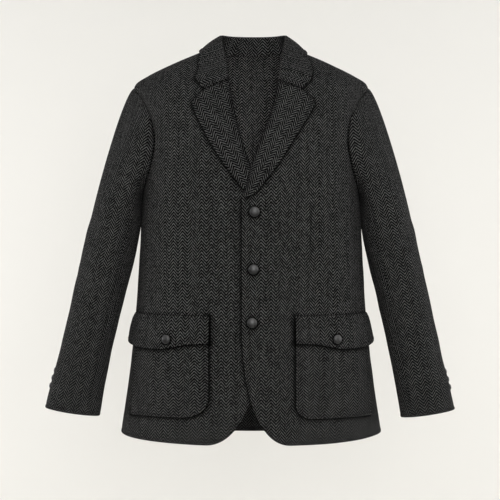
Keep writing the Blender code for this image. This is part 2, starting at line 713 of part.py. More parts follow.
def collar_half(side):
    """Outer and inner skins of half the collar, from its middle to its end."""
    flip = np.array([side, 1, 1])
    outer, inner = [], []
    for table in (COLLAR_BEHIND, COLLAR_BEFORE, COLLAR_NOTCH):
        knots = np.arange(len(table))
        cuts = np.linspace(0, len(table) - 1, COLLAR_STEPS * (len(table) - 1) + 1)
        if table is COLLAR_NOTCH:
            cuts = cuts[1:]
        columns = [smooth(knots, column, cuts) for column in zip(*table)]
        for row in zip(*columns):
            cut = CollarCut(*(float(value) for value in row))
            if table is COLLAR_BEHIND:
                neck_angle = radians(cut.neck)
                neck_height = back_neck(neck_angle)
            else:
                neck_height = cut.neck
                neck_angle = float(front_angle(front_edge(neck_height, side), neck_height))
            neck = laid(side_angle(neck_angle, side), neck_height, -CLOTH)
            edge_angle = side_angle(radians(cut.edge_angle + side * cut.turn), side)
            edge_height = cut.edge_height - side * cut.drop
            edge_lift = FACED_CLOTH + COLLAR_GAP + ridge_gap(radians(cut.edge_angle))
            edge = laid(edge_angle, edge_height, edge_lift)
            edge_out = body_normal(edge_angle, edge_height)
            lean = float(neck_lean(cut.fold_height, side))
            fold = np.array([cut.fold_aside + lean, cut.fold_back, cut.fold_height])
            inset = FACED_CLOTH + STAND_GAP + ridge_gap(neck_angle)
            points, normals = collar_profile(neck * flip, fold, edge * flip, edge_out * flip, inset)
            outer.append(points * flip)
            inner.append((points - normals * FACED_CLOTH) * flip)
    return np.array(outer), np.array(inner)


def build_collar(finish):
    """The collar, folded over all round from one gorge seam to the other."""
    left_outer, left_inner = collar_half(1)
    right_outer, right_inner = collar_half(-1)
    outer = trimmed(np.concatenate([right_outer[:0:-1], left_outer]), "first_row", "last_row")
    inner = trimmed(np.concatenate([right_inner[:0:-1], left_inner]), "first_row", "last_row")
    cloth_piece("collar", outer, inner, finish)


# ---------------------------------------------------------------- lapels
class LapelRow(NamedTuple):
    """A line across a lapel, from the roll line to its outer edge."""

    roll_height: float
    edge_aside: float
    edge_height: float


LAPEL = [
    LapelRow(-0.0530, 0.0905, -0.0672),     # gorge seam, out to the notch
    LapelRow(-0.0655, 0.1030, -0.0800),
    LapelRow(-0.0790, 0.1150, -0.0935),     # tip
    LapelRow(-0.1030, 0.1085, -0.1110),
    LapelRow(-0.1370, 0.0915, -0.1420),
    LapelRow(-0.1700, 0.0707, -0.1780),
    LapelRow(-0.2010, 0.0503, -0.2100),
    LapelRow(-0.2300, 0.0300, -0.2370),
    LapelRow(-0.2530, 0.0101, -0.2620),
    LapelRow(-0.2680, -0.0070, -0.2735),
]
LAPEL_STEPS = 2             # rows made between each two of the table's
LAPEL_COLUMNS = 6           # across the flat of the lapel
LAPEL_START = 0.012         # share of the width where the flat begins


class RollPoint(NamedTuple):
    """A place on the lapel's outer skin where it wraps round the edge of the front."""

    aside: float            # beyond the front's edge
    lift: float             # over the front's outer skin
    sideways: float         # how far the skin faces sideways there; 1 is wholly


ROLL = [
    RollPoint(0.0037, -0.0012, 1.0),
    RollPoint(0.0027, FACED_CLOTH, 0.7),
]
ROLL_STEP = 0.01            # distance over which the sideways direction is taken
PUFF_TOP = 0.0016           # the lapel stands off the chest this much at its top
PUFF_LOW = 0.0040           # and lower down, where the roll is soft
PUFF_RISE = 0.07            # share of the width over which it rises from the roll
PRESSED_FROM = -0.1600      # the right lapel flattens from here down,
PRESSED_TO = -0.2100        # to pass under the left front
SOFT_FROM = -0.1000         # the roll grows softer from here down
SOFT_TO = -0.2000


def build_lapels(finish):
    """The turned-back lapels, each wrapped round the edge of its front."""
    knots = np.arange(len(LAPEL))
    rows = np.linspace(0, len(LAPEL) - 1, LAPEL_STEPS * (len(LAPEL) - 1) + 1)
    roll_height = smooth(knots, [row.roll_height for row in LAPEL], rows)
    edge_height = smooth(knots, [row.edge_height for row in LAPEL], rows)
    edge_table = smooth(knots, [row.edge_aside for row in LAPEL], rows)
    share = np.linspace(LAPEL_START, 1, LAPEL_COLUMNS + 1)
    softness = 1 - ease(SOFT_TO, SOFT_FROM, roll_height)
    for name, side in (("lapel_left", 1), ("lapel_right", -1)):
        roll_aside = front_edge(roll_height, side)
        edge_aside = edge_table + neck_lean(edge_height, side)
        aside = roll_aside[:, None] + (edge_aside - roll_aside)[:, None] * share
        height = roll_height[:, None] + (edge_height - roll_height)[:, None] * share
        pressed = ease(PRESSED_TO, PRESSED_FROM, roll_height) if side < 0 else 1.0
        puff = ((PUFF_TOP + (PUFF_LOW - PUFF_TOP) * softness) * pressed)[:, None]
        lift = (LAY_GAP + FACED_CLOTH
                + puff * (1 - share) * (1 - np.exp(-share / PUFF_RISE)))
        outer_rows, inner_rows = [], []
        beyond = side_angle(front_angle(roll_aside - ROLL_STEP, roll_height), side)
        for roll in ROLL:
            angle = side_angle(front_angle(roll_aside - roll.aside, roll_height), side)
            base = lap(angle, roll_height, side) + roll.lift
            place = laid(angle, roll_height, base)
            towards = unit(laid(beyond, roll_height, base) - place)
            upright = 1 - roll.sideways ** 4
            way = unit(towards * roll.sideways + body_normal(angle, roll_height) * upright)
            outer_rows.append(place)
            inner_rows.append(place - way * FACED_CLOTH)
        angle = side_angle(front_angle(aside, height), side)
        base = lap(angle, height, side) + lift
        outer = np.concatenate([np.stack(outer_rows, axis=1), laid(angle, height, base)], axis=1)
        inner = np.concatenate([np.stack(inner_rows, axis=1),
                                laid(angle, height, base - FACED_CLOTH)], axis=1)
        cloth_piece(name, trimmed(outer, "first_row"), trimmed(inner, "first_row"), finish)


# ---------------------------------------------------------------- pockets and flaps
POCKET_INNER = {1: 0.0835, -1: 0.0795}      # distance of its front edge from the centre line
POCKET_OUTER = radians(-24.0)
POCKET_TOP = -0.5040
POCKET_BOTTOM = {1: -0.6838, -1: -0.6818}
POCKET_WIDTH = 0.1580       # along the cloth
POCKET_CORNER = {1: (0.024, 0.010), -1: (0.036, 0.008)}     # at its front and at its rear
POCKET_PUFF = 0.0032        # a pocket stands off the front this much at its middle
POCKET_GAP = 0.0009
CORNER_SHARES = np.array([1 - cos(pi / 4), 0.62, 1.0])  # places round a corner, by its radius
POCKET_COLUMNS = 8          # between the corners
POCKET_ROWS = 7
PUFF_SQUARE = 0.8           # 1 is a round puff, less is flatter in the middle
FLAP_TOP = -0.4935
FLAP_TOP_RISE = 0.0040      # the flap's seam climbs this much towards the side
FLAP_INNER = {1: 0.0825, -1: 0.0780}
FLAP_OUTER_TOP = radians(-15.0)             # its outer end slants out from here
FLAP_OUTER_LOW = radians(-2.0)              # to here
FLAP_STAND_OUT = 0.0015     # the flap's outer end stands away from the side
FLAP_COLUMNS = 13
FLAP_ROWS = 5


class FlapDrop(NamedTuple):
    """Depth of a flap below its seam at a share of its width."""

    share: float
    drop: float


class FlapLift(NamedTuple):
    """How far a flap stands off the front at a share of its depth."""

    down: float
    lift: float


FLAP_LIFTS = [
    FlapLift(0.00, 0.0029),
    FlapLift(0.22, 0.0062),
    FlapLift(0.60, 0.0078),
    FlapLift(1.00, 0.0090),
]
FLAP_SHAPE = [
    FlapDrop(0.00, 0.0500),
    FlapDrop(0.15, 0.0525),
    FlapDrop(0.26, 0.0585),
    FlapDrop(0.38, 0.0628),
    FlapDrop(0.58, 0.0620),
    FlapDrop(0.78, 0.0588),
    FlapDrop(0.91, 0.0560),
    FlapDrop(1.00, 0.0530),
]


def corner_cut(distance, radius):
    """How far a round corner cuts in at a distance from the other edge."""
    inside = np.clip(radius - distance, 0.0, radius)
    return radius - np.sqrt(radius * radius - inside * inside)


def build_pockets(finish):
    """The patch pockets, square under their flaps and round at the bottom."""
    for name, side in (("pocket_left", 1), ("pocket_right", -1)):
        tall = POCKET_TOP - POCKET_BOTTOM[side]
        front, rear = POCKET_CORNER[side]
        middle = np.linspace(front, POCKET_WIDTH - rear, POCKET_COLUMNS + 1)[1:-1]
        across = np.concatenate([front * CORNER_SHARES, middle,
                                 POCKET_WIDTH - rear * CORNER_SHARES[::-1]])
        cut = corner_cut(across, front) + corner_cut(POCKET_WIDTH - across, rear)
        bottom = np.stack([across, cut], axis=-1)
        top_across = np.linspace(0, POCKET_WIDTH, len(across))
        top = np.stack([top_across, np.full_like(across, tall)], axis=-1)
        edges = []
        for radius in (front, rear):
            upward = np.concatenate([radius * CORNER_SHARES,
                                     np.linspace(radius, tall, POCKET_ROWS + 1)[1:]])
            edges.append(np.stack([corner_cut(upward, radius), upward], axis=-1))
        rear_edge = edges[1] * [-1, 1] + [POCKET_WIDTH, 0]
        place = spread(bottom, top, edges[0], rear_edge)
        share = place[..., 0] / POCKET_WIDTH
        height = POCKET_BOTTOM[side] + place[..., 1]
        inner_angle = front_angle(POCKET_INNER[side] + 0.0 * height, height)
        angle = side_angle(inner_angle + (POCKET_OUTER - inner_angle) * share, side)
        lift = POCKET_GAP + CLOTH + pocket_puff(share, place[..., 1] / tall)
        outer = laid(angle, height, lift)
        inner = laid(angle, height, lift - CLOTH)
        cloth_piece(name, outer, inner, finish)


def pocket_puff(across, upward):
    """Extra lift of a pocket over the front, by the shares of its width and height."""
    round_middle = np.sin(pi * np.clip(across, 0.0, 1.0)) * np.sin(pi * np.clip(upward, 0.0, 1.0))
    return POCKET_PUFF * round_middle ** PUFF_SQUARE


def flap_place(share, down, side):
    """Angle, height and outer lift of a place on a flap."""
    drop = smooth([row.share for row in FLAP_SHAPE], [row.drop for row in FLAP_SHAPE], share)
    height = FLAP_TOP + FLAP_TOP_RISE * share ** 2 - drop * down
    inner_angle = front_angle(FLAP_INNER[side] + 0.0 * height, height)
    outer_angle = FLAP_OUTER_TOP + (FLAP_OUTER_LOW - FLAP_OUTER_TOP) * down
    angle = side_angle(inner_angle + (outer_angle - inner_angle) * share, side)
    lift = smooth([row.down for row in FLAP_LIFTS], [row.lift for row in FLAP_LIFTS], down)
    return angle, height, lift + FLAP_STAND_OUT * share ** 3 * down ** 2


def build_flaps(finish):
    """The pocket flaps, sewn at the top and hanging free over the pockets."""
    share = np.repeat(np.linspace(0, 1, FLAP_COLUMNS + 1)[None, :], FLAP_ROWS + 1, axis=0)
    down = np.repeat(np.linspace(0, 1, FLAP_ROWS + 1)[:, None], FLAP_COLUMNS + 1, axis=1)
    for name, side in (("flap_left", 1), ("flap_right", -1)):
        angle, height, lift = flap_place(share, down, side)
        cloth_piece(name, laid(angle, height, lift), laid(angle, height, lift - CLOTH), finish)


# ---------------------------------------------------------------- buttons
class ButtonSize(NamedTuple):
    """A domed leather button."""

    radius: float
    tall: float


class ProfilePoint(NamedTuple):
    """A point of a button's outline, in shares of its radius and height."""

    aside: float
    high: float


BUTTON_PROFILE = [
    ProfilePoint(0.00, 1.00),
    ProfilePoint(0.45, 0.93),
    ProfilePoint(0.80, 0.70),
    ProfilePoint(1.00, 0.36),
    ProfilePoint(0.90, 0.12),
    ProfilePoint(0.45, 0.00),
    ProfilePoint(0.00, 0.00),
]
FRONT_BUTTON = ButtonSize(0.0092, 0.0062)
FLAP_BUTTON = ButtonSize(0.0084, 0.0056)
CUFF_BUTTON = ButtonSize(0.0070, 0.0048)
BUTTON_GAP = 0.0004
BUTTON_STEPS = 12
FRONT_BUTTONS = [EdgePoint(-0.3000, 0.0065), EdgePoint(-0.4066, 0.0046), EdgePoint(-0.5056, 0.0019)]
FLAP_BUTTON_SHARE = 0.32
FLAP_BUTTON_DOWN = 0.72
CUFF_BUTTON_TOP = -0.6160
CUFF_BUTTON_PITCH = 0.0149
CUFF_BUTTON_TURN = radians(13.0)    # ahead of the hind seam


def add_button(name, size, foot, outward, finish):
    """A turned button standing on a point of the cloth."""
    profile = [(size.radius * point.aside, 0.0, size.tall * point.high) for point in BUTTON_PROFILE]
    mesh = bpy.data.meshes.new(name)
    mesh.from_pydata(profile, [(step, step + 1) for step in range(len(profile) - 1)], [])
    button = add_object(name, mesh, finish)
    turning = button.modifiers.new("Turned", "SCREW")
    turning.angle = 2 * pi
    turning.steps = BUTTON_STEPS
    turning.render_steps = BUTTON_STEPS
    turning.use_merge_vertices = True
    turning.merge_threshold = 0.00001
    turning.use_smooth_shade = True
    facing = Vector(outward).to_track_quat("Z", "Y").to_matrix().to_4x4()
    button.matrix_world = Matrix.Translation(Vector(foot)) @ facing


def build_buttons(finish):
    """Three front buttons, one on each flap and three on each cuff."""
    for number, spot in enumerate(FRONT_BUTTONS, start=1):
        height = np.array(spot.height)
        angle = front_angle(spot.aside, height)
        foot = laid(angle, height, lap(angle, height, 1) + BUTTON_GAP)
        add_button(f"button_front_{number}", FRONT_BUTTON, foot, body_normal(angle, height), finish)
    for label, side in (("left", 1), ("right", -1)):
        share, down = np.array(FLAP_BUTTON_SHARE), np.array(FLAP_BUTTON_DOWN)
        angle, height, lift = flap_place(share, down, side)
        foot = laid(angle, height, lift + BUTTON_GAP)
        add_button(f"button_flap_{label}", FLAP_BUTTON, foot, body_normal(angle, height), finish)
        for number in range(3):
            level = CUFF_BUTTON_TOP - number * CUFF_BUTTON_PITCH
            reach = np.array([1 + (ARM[0].height - level) / (ARM[0].height - ARM[-1].height)])
            turn = seam_turn(HIND_SEAM, reach) - CUFF_BUTTON_TURN
            outer, inner = sleeve_skins(turn, reach, side)
            outward = unit(outer - inner)[0]
            foot = outer[0] + outward * BUTTON_GAP
            flip = [side, 1, 1]
            add_button(f"button_cuff_{label}_{number + 1}", CUFF_BUTTON, foot * flip,
                       outward * flip, finish)


# ---------------------------------------------------------------- the jacket
def build_jacket():
    """Clear the scene and build every piece."""
    for piece in list(bpy.data.objects):
        bpy.data.objects.remove(piece, do_unlink=True)
    jacket = bpy.data.collections.new(COLLECTION)
    bpy.context.scene.collection.children.link(jacket)
    tweed = material("charcoal_tweed", (0.030, 0.030, 0.031), 0.92)
    leather = material("button_leather", (0.045, 0.043, 0.042), 0.45)
    build_fronts(tweed)
    build_back(tweed)
    build_sleeves(tweed)
    build_collar(tweed)
    build_lapels(tweed)
    build_pockets(tweed)
    build_flaps(tweed)
    build_buttons(leather)


build_jacket()
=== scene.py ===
"""Tweed hacking jacket: fine cloth shells over its solids, with weave, stitches and buttons.

Lengths are metres, +Z is up, the front faces -Y and +X is the wearer's left. Left and right are
the wearer's, and a side is 1 on the left and -1 on the right. The body's cloth follows one form:
a place on it is an angle round the body (0 at the left side, -90 degrees at the front, 90 at the
back) and a height.
"""

import logging
import math
from dataclasses import dataclass
from enum import Enum
from functools import reduce
from typing import NamedTuple, Sequence

import bmesh
import bpy
import numpy as np
from mathutils import Matrix, Vector
from mathutils.kdtree import KDTree


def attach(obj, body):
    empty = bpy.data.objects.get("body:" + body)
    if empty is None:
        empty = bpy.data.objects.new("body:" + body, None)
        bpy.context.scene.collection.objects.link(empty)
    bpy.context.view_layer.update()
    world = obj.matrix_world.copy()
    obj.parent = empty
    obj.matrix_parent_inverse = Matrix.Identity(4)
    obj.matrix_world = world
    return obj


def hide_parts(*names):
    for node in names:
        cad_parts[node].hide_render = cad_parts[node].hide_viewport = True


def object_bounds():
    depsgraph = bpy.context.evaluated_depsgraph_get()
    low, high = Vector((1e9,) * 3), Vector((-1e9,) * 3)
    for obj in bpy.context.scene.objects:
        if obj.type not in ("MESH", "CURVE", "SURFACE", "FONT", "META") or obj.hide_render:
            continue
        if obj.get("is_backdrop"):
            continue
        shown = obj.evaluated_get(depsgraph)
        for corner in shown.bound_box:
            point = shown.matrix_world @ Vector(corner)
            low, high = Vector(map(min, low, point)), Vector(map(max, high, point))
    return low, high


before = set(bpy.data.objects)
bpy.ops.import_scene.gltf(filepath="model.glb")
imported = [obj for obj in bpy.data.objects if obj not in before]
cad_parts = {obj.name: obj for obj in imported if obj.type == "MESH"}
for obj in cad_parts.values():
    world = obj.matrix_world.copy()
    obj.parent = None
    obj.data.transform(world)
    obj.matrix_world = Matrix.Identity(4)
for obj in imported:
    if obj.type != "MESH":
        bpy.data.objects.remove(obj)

LOG = logging.getLogger("jacket")
Array = np.ndarray
Pair = tuple[float, float]
Triple = tuple[float, float, float]
Material = bpy.types.Material
Socket = bpy.types.NodeSocket
HANDS = {"left": 1, "right": -1}


# ---------------------------------------------------------------- curves and small helpers
def listed(kind: type, *values: tuple) -> tuple:
    """Make the rows of a table."""
    return tuple(kind(*value) for value in values)


def joined(*parts: Array) -> Array:
    """Put coordinates together, as the last axis."""
    return np.stack(parts, axis=-1)


def bell(off: Array, width: float) -> Array:
    """Give 1 on a line, and less and less beside it."""
    return np.exp(-(off / width) ** 2)


def add_object(name: str, data: bpy.types.ID) -> bpy.types.Object:
    """Put a mesh, a lamp or a camera into the scene.

    Args:
        name: the object's name.
        data: what it shows.

    Returns:
        The object.
    """
    added = bpy.data.objects.new(name, data)
    bpy.context.scene.collection.objects.link(added)
    return added


def smooth(knots: Sequence[float], values: Sequence[float], at: Array) -> Array:
    """Read a curve that runs through a table's points and never overshoots them.

    Args:
        knots: rising places of the points.
        values: the curve's value at each of them.
        at: places to read.

    Returns:
        The curve's values.
    """
    knots = np.asarray(knots, float)
    values = np.asarray(values, float)
    at = np.asarray(at, float)
    steps = np.diff(knots)
    rises = np.diff(values) / steps
    slopes = np.zeros_like(values)
    same_way = rises[:-1] * rises[1:] > 0
    before = np.where(same_way, rises[:-1], 1.0)
    after = np.where(same_way, rises[1:], 1.0)
    near = 2 * steps[1:] + steps[:-1]
    far = steps[1:] + 2 * steps[:-1]
    slopes[1:-1] = np.where(same_way, (near + far) / (near / before + far / after), 0.0)
    slopes[0] = rises[0]
    slopes[-1] = rises[-1]
    cell = np.clip(np.searchsorted(knots, at) - 1, 0, len(steps) - 1)
    part = (at - knots[cell]) / steps[cell]
    rise = part * part * (3 - 2 * part)
    return (values[cell] * (1 - rise) + values[cell + 1] * rise
            + steps[cell] * slopes[cell] * part * (1 - part) ** 2
            - steps[cell] * slopes[cell + 1] * part * part * (1 - part))


def ease(low: float, high: float, value: Array) -> Array:
    """Step softly from 0 below low to 1 above high."""
    part = np.clip((value - low) / (high - low), 0.0, 1.0)
    return part * part * (3 - 2 * part)


def unit(vectors: Array) -> Array:
    """Scale vectors to a length of one."""
    return vectors / np.maximum(np.linalg.norm(vectors, axis=-1, keepdims=True), 1e-12)


def hand_name(side: int) -> str:
    """Name the wearer's left (1) or right (-1)."""
    return "left" if side > 0 else "right"


def side_angle(angle: Array, side: int) -> Array:
    """Give the angle on the wearer's left (1), or its mirror image on the right (-1)."""
    return angle if side > 0 else math.pi - angle


def uneven(first: Array, second: Array, seed: float) -> Array:
    """Give a soft, uneven value between about -1 and 1 over a surface.

    Args:
        first: places one way, in waves.
        second: places the other way, in waves.
        seed: shifts the waves, so that two pieces differ.

    Returns:
        The value at each place.
    """
    return (0.45 * np.sin(first * 1.0 + second * 0.37 + 1.7 * seed)
            + 0.3 * np.sin(first * -0.61 + second * 1.13 + 2.9 * seed + 1.0)
            + 0.25 * np.sin(first * 1.73 + second * 1.49 + 4.3 * seed + 2.0))


def shares(cells: int, length: float, margins: Sequence[float] = (0.0008, 0.0022, 0.0045, 0.0075)
           ) -> Array:
    """Divide a length, with extra lines close to both ends for rounded and stitched edges.

    Args:
        cells: number of even cells in the middle.
        length: metres from end to end.
        margins: distances of the extra lines from each end.

    Returns:
        Rising shares of the length from 0 to 1.
    """
    near = np.array([0.0, *margins]) / length
    return np.concatenate([near[:-1], np.linspace(near[-1], 1 - near[-1], cells + 1), 1 - near[-2::-1]])


# ---------------------------------------------------------------- the body's form
class Section(NamedTuple):
    """One level section through the body."""

    height: float
    half_width: float
    front: float
    back: float
    shift: float
    square: float


class EdgePoint(NamedTuple):
    """A place on the front: height and distance from the centre line."""

    height: float
    aside: float


class Fold(NamedTuple):
    """A soft ridge, or a trough where depth is negative; angles in degrees."""

    angle: float
    height: float
    length: float
    width: float
    lean: float
    depth: float


CLOTH = 0.002
FACED_CLOTH = 0.0022
SEAM_TRIM = 0.0001
LAY_GAP = 0.0007


@dataclass(frozen=True)
class BodyForm:
    """The rounded form that the body's cloth follows, and the edges of its panels."""

    sections: tuple[Section, ...] = listed(
        Section,
        (-0.76, 0.2582, 0.1268, 0.1272, 0.0, 2.3),
        (-0.69, 0.2466, 0.1275, 0.126, 0.0, 2.32),
        (-0.62, 0.2366, 0.128, 0.1235, 0.0, 2.35),
        (-0.52, 0.225, 0.129, 0.1165, 0.0, 2.38),
        (-0.42, 0.2176, 0.128, 0.109, 0.0, 2.4),
        (-0.36, 0.2145, 0.129, 0.1085, 0.0, 2.42),
        (-0.3, 0.211, 0.13, 0.114, 0.0, 2.44),
        (-0.22, 0.205, 0.127, 0.12, 0.0, 2.42),
        (-0.17, 0.204, 0.119, 0.121, 0.001, 2.38),
        (-0.12, 0.2085, 0.105, 0.118, 0.002, 2.3),
        (-0.08, 0.218, 0.088, 0.111, 0.003, 2.2),
        (-0.058, 0.2265, 0.0765, 0.105, 0.003, 2.15),
        (-0.05, 0.2235, 0.072, 0.1025, 0.004, 2.12),
        (-0.033, 0.199, 0.0605, 0.0965, 0.004, 2.1),
        (-0.013, 0.16, 0.0495, 0.087, 0.006, 2.1),
        (-0.002, 0.1365, 0.0425, 0.08, 0.007, 2.1),
        (0.01, 0.108, 0.034, 0.072, 0.008, 2.1),
        (0.024, 0.075, 0.026, 0.062, 0.009, 2.1))
    folds: tuple[Fold, ...] = listed(
        Fold,
        (-58.0, -0.7, 0.15, 11.0, -30.0, 0.004),
        (-28.0, -0.715, 0.17, 10.0, 20.0, -0.004),
        (-122.0, -0.7, 0.16, 12.0, 30.0, 0.0035),
        (-151.0, -0.715, 0.18, 10.0, -20.0, -0.0045),
        (52.0, -0.69, 0.2, 12.0, 15.0, 0.0045),
        (90.0, -0.7, 0.22, 13.0, 0.0, -0.004),
        (130.0, -0.69, 0.19, 12.0, -15.0, 0.005),
        (38.0, -0.4, 0.16, 12.0, 60.0, -0.0035),
        (143.0, -0.41, 0.15, 12.0, -60.0, -0.003),
        (58.0, -0.18, 0.13, 10.0, 40.0, 0.003),
        (121.0, -0.175, 0.12, 10.0, -40.0, 0.0035))
    creases: tuple[Fold, ...] = listed(
        Fold,
        (-38.0, -0.262, 0.06, 7.0, 160.0, -0.0016),
        (-142.0, -0.268, 0.06, 7.0, -150.0, -0.0018),
        (-72.0, -0.33, 0.05, 9.0, 330.0, 0.0009),
        (-110.0, -0.326, 0.05, 9.0, -330.0, 0.001),
        (-60.0, -0.445, 0.07, 8.0, -170.0, -0.0009),
        (-124.0, -0.436, 0.07, 8.0, 190.0, -0.001),
        (-44.0, -0.47, 0.08, 6.0, 60.0, 0.001),
        (-135.0, -0.482, 0.08, 6.0, -60.0, 0.0011),
        (24.0, -0.3, 0.06, 7.0, 190.0, -0.002),
        (156.0, -0.306, 0.06, 7.0, -180.0, -0.002),
        (70.0, -0.43, 0.03, 16.0, 500.0, -0.0018),
        (108.0, -0.452, 0.03, 16.0, -480.0, -0.0018),
        (90.0, -0.06, 0.05, 20.0, 0.0, 0.0012))
    hem_side: float = -0.7192
    front_dip: float = 0.0155
    back_dip: float = 0.0175
    dip_curve: float = 1.3
    side_seam: float = math.radians(10.0)
    shoulder_neck: float = math.radians(8.0)
    shoulder_arm: float = math.radians(6.0)
    neck_point: float = 0.022
    back_neck: float = 0.0165
    armhole_top: float = -0.055
    armhole_bottom: float = -0.275
    armhole_front: float = math.radians(-30.5)
    armhole_back: float = math.radians(33.0)
    overlap: float = 0.0167
    break_height: float = -0.276
    cutaway_top: float = -0.51
    cutaway_width: Pair = (0.092, 0.105)
    cutaway_power: float = 2.2
    cutaway_split: float = 0.62
    lap_lift: float = LAY_GAP + CLOTH
    lap_break_lift: float = 0.0038
    lap_break_fade: float = 0.065
    lap_full: float = 0.024
    lap_end: float = 0.062
    lap_low: Pair = (-0.78, -0.69)
    neck_lean: float = 0.0045
    lean_span: Pair = (-0.18, -0.08)
    dart_aside: float = 0.112
    dart_span: Pair = (-0.48, -0.29)
    dart_depth: float = 0.0022
    dart_width: float = 0.012
    dart_line: float = 0.35
    dart_line_width: float = 0.0022
    wave: float = 0.00055
    wave_size: Pair = (9.0, 0.022)
    ripple: float = 0.5
    ripple_size: Pair = (4.0, 0.011)
    roll_line: tuple[EdgePoint, ...] = listed(
        EdgePoint,
        (-0.276, -0.0167),
        (-0.25, -0.005),
        (-0.224, 0.001),
        (-0.19, 0.0125),
        (-0.1385, 0.029),
        (-0.085, 0.0435),
        (-0.052, 0.0475))
    neckline: tuple[EdgePoint, ...] = listed(
        EdgePoint,
        (-0.026, 0.0545),
        (-0.002, 0.0615),
        (0.0125, 0.068),
        (0.019, 0.074))

    def column(self, name: str, height: Array) -> Array:
        """Read one column of the sections at a height."""
        values = [getattr(section, name) for section in self.sections]
        return smooth([section.height for section in self.sections], values, height)

    def surface(self, angle: Array, height: Array) -> Array:
        """Place points on the body's outer surface.

        Args:
            angle: angles round the body.
            height: heights.

        Returns:
            Points, with the coordinates last.
        """
        across, along = np.cos(angle), np.sin(angle)
        square = self.column("square", height)
        reach = (np.abs(across) ** square + np.abs(along) ** square) ** (-1.0 / square)
        depth = np.where(along < 0, self.column("front", height), self.column("back", height))
        x = self.column("half_width", height) * across * reach
        y = self.column("shift", height) + depth * along * reach
        return joined(x, y, height + 0.0 * x)

    def normal(self, angle: Array, height: Array) -> Array:
        """Point out of the body's surface.

        Args:
            angle: angles round the body.
            height: heights.

        Returns:
            The surface's normals.
        """
        step = 0.0005
        around = self.surface(angle + step, height) - self.surface(angle - step, height)
        upward = self.surface(angle, height + step) - self.surface(angle, height - step)
        return unit(np.cross(around, upward))

    def relief(self, angle: Array, height: Array) -> Array:
        """Give how far folds, creases, darts and the cloth's unevenness move the surface.

        Args:
            angle: angles round the body.
            height: heights.

        Returns:
            The lift at each place.
        """
        turn = np.degrees(angle)
        lift = 0.0 * turn
        for fold in self.folds + self.creases:
            up = height - fold.height
            near = bell(turn - fold.angle - fold.lean * up, fold.width)
            lift = lift + fold.depth * near * bell(up * 2, fold.length)
        aside = np.abs(self.surface(angle, height)[..., 0]) - self.dart_aside
        middle = (self.dart_span[0] + self.dart_span[1]) / 2
        reach = (self.dart_span[1] - self.dart_span[0]) / 2
        along = np.clip(1 - ((height - middle) / reach) ** 2, 0, 1)
        groove = bell(aside, self.dart_width) + self.dart_line * bell(aside, self.dart_line_width)
        lift = lift - self.dart_depth * along * groove * (np.sin(angle) < 0)
        waves = uneven(turn / self.wave_size[0], height / self.wave_size[1], 1.0)
        ripples = uneven(turn / self.ripple_size[0], height / self.ripple_size[1], 2.0)
        return lift + self.wave * (waves + self.ripple * ripples)

    def laid(self, angle: Array, height: Array, lift: Array) -> Array:
        """Place points at a lift above the body's surface, over its folds.

        Args:
            angle: angles round the body.
            height: heights.
            lift: metres above the surface.

        Returns:
            The points.
        """
        angle = np.asarray(angle, float)
        height = np.asarray(height, float)
        out = np.asarray(lift, float) + self.relief(angle, height)
        return self.surface(angle, height) + self.normal(angle, height) * out[..., None]

    def front_angle(self, aside: Array, height: Array) -> Array:
        """Find places on the front that lie aside of the centre line.

        Args:
            aside: distances from the centre line.
            height: heights.

        Returns:
            Their angles.
        """
        square = self.column("square", height)
        share = np.asarray(aside, float) / self.column("half_width", height)
        forward = (1 - np.minimum(np.abs(share), 1.0) ** square) ** (1.0 / square)
        return np.arctan2(-forward, share)

    def hem_height(self, angle: Array) -> Array:
        """Give the height of the hem round the body."""
        dip = np.where(np.sin(angle) < 0, self.front_dip, self.back_dip)
        return self.hem_side - dip * np.abs(np.sin(angle)) ** self.dip_curve

    def armhole(self, turn: Array) -> tuple[Array, Array]:
        """Find places on the armhole.

        Args:
            turn: 0 at its top, -90 degrees at its front.

        Returns:
            Angles and heights.
        """
        middle = (self.shoulder_arm + self.side_seam) / 2
        drift = (self.shoulder_arm - self.side_seam) / 2
        reach = np.where(np.sin(turn) < 0, middle - self.armhole_front, self.armhole_back - middle)
        angle = middle + drift * np.cos(turn) + reach * np.sin(turn)
        tall = (self.armhole_top - self.armhole_bottom) / 2
        return angle, (self.armhole_top + self.armhole_bottom) / 2 + tall * np.cos(turn)

    def back_edge(self, angle: Array) -> Array:
        """Give the height of the back's edge at the neck."""
        return self.neck_point + (self.back_neck - self.neck_point) * np.sin(angle) ** 0.5

    def lean(self, height: Array, side: int) -> Array:
        """Give how far a side's neck edge moves away from the centre line."""
        return side * self.neck_lean * ease(*self.lean_span, height)

    def corner_width(self, side: int) -> float:
        """Give the width of the cut-away corner of a front."""
        return self.cutaway_width[0] if side > 0 else self.cutaway_width[1]

    def corner_depth(self) -> float:
        """Give the height over which the front corners are cut away."""
        return self.cutaway_top - (self.hem_side - self.front_dip)

    def corner_rise(self, aside: Array, side: int) -> Array:
        """Give the height of the rounded corner over the hem.

        Args:
            aside: distances from the centre line.
            side: 1 on the left, -1 on the right.

        Returns:
            The height at each place.
        """
        share = np.clip((aside + self.overlap) / self.corner_width(side), 0.0, 1.0)
        power = self.cutaway_power
        return self.corner_depth() * (1 - (1 - (1 - share) ** power) ** (1 / power))

    def front_edge(self, height: Array, side: int) -> Array:
        """Give how far a front's free edge, roll line or neckline lies from the centre line.

        Args:
            height: heights.
            side: 1 on the left, -1 on the right.

        Returns:
            The distance at each height.
        """
        share = np.clip((self.cutaway_top - height) / self.corner_depth(), 0.0, 1.0)
        inward = 1 - (1 - share ** self.cutaway_power) ** (1 / self.cutaway_power)
        corner = self.corner_width(side) * inward - self.overlap
        line = self.roll_line + self.neckline
        opening = smooth([point.height for point in line], [point.aside for point in line], height)
        return np.where(height < self.break_height, corner, opening + self.lean(height, side))

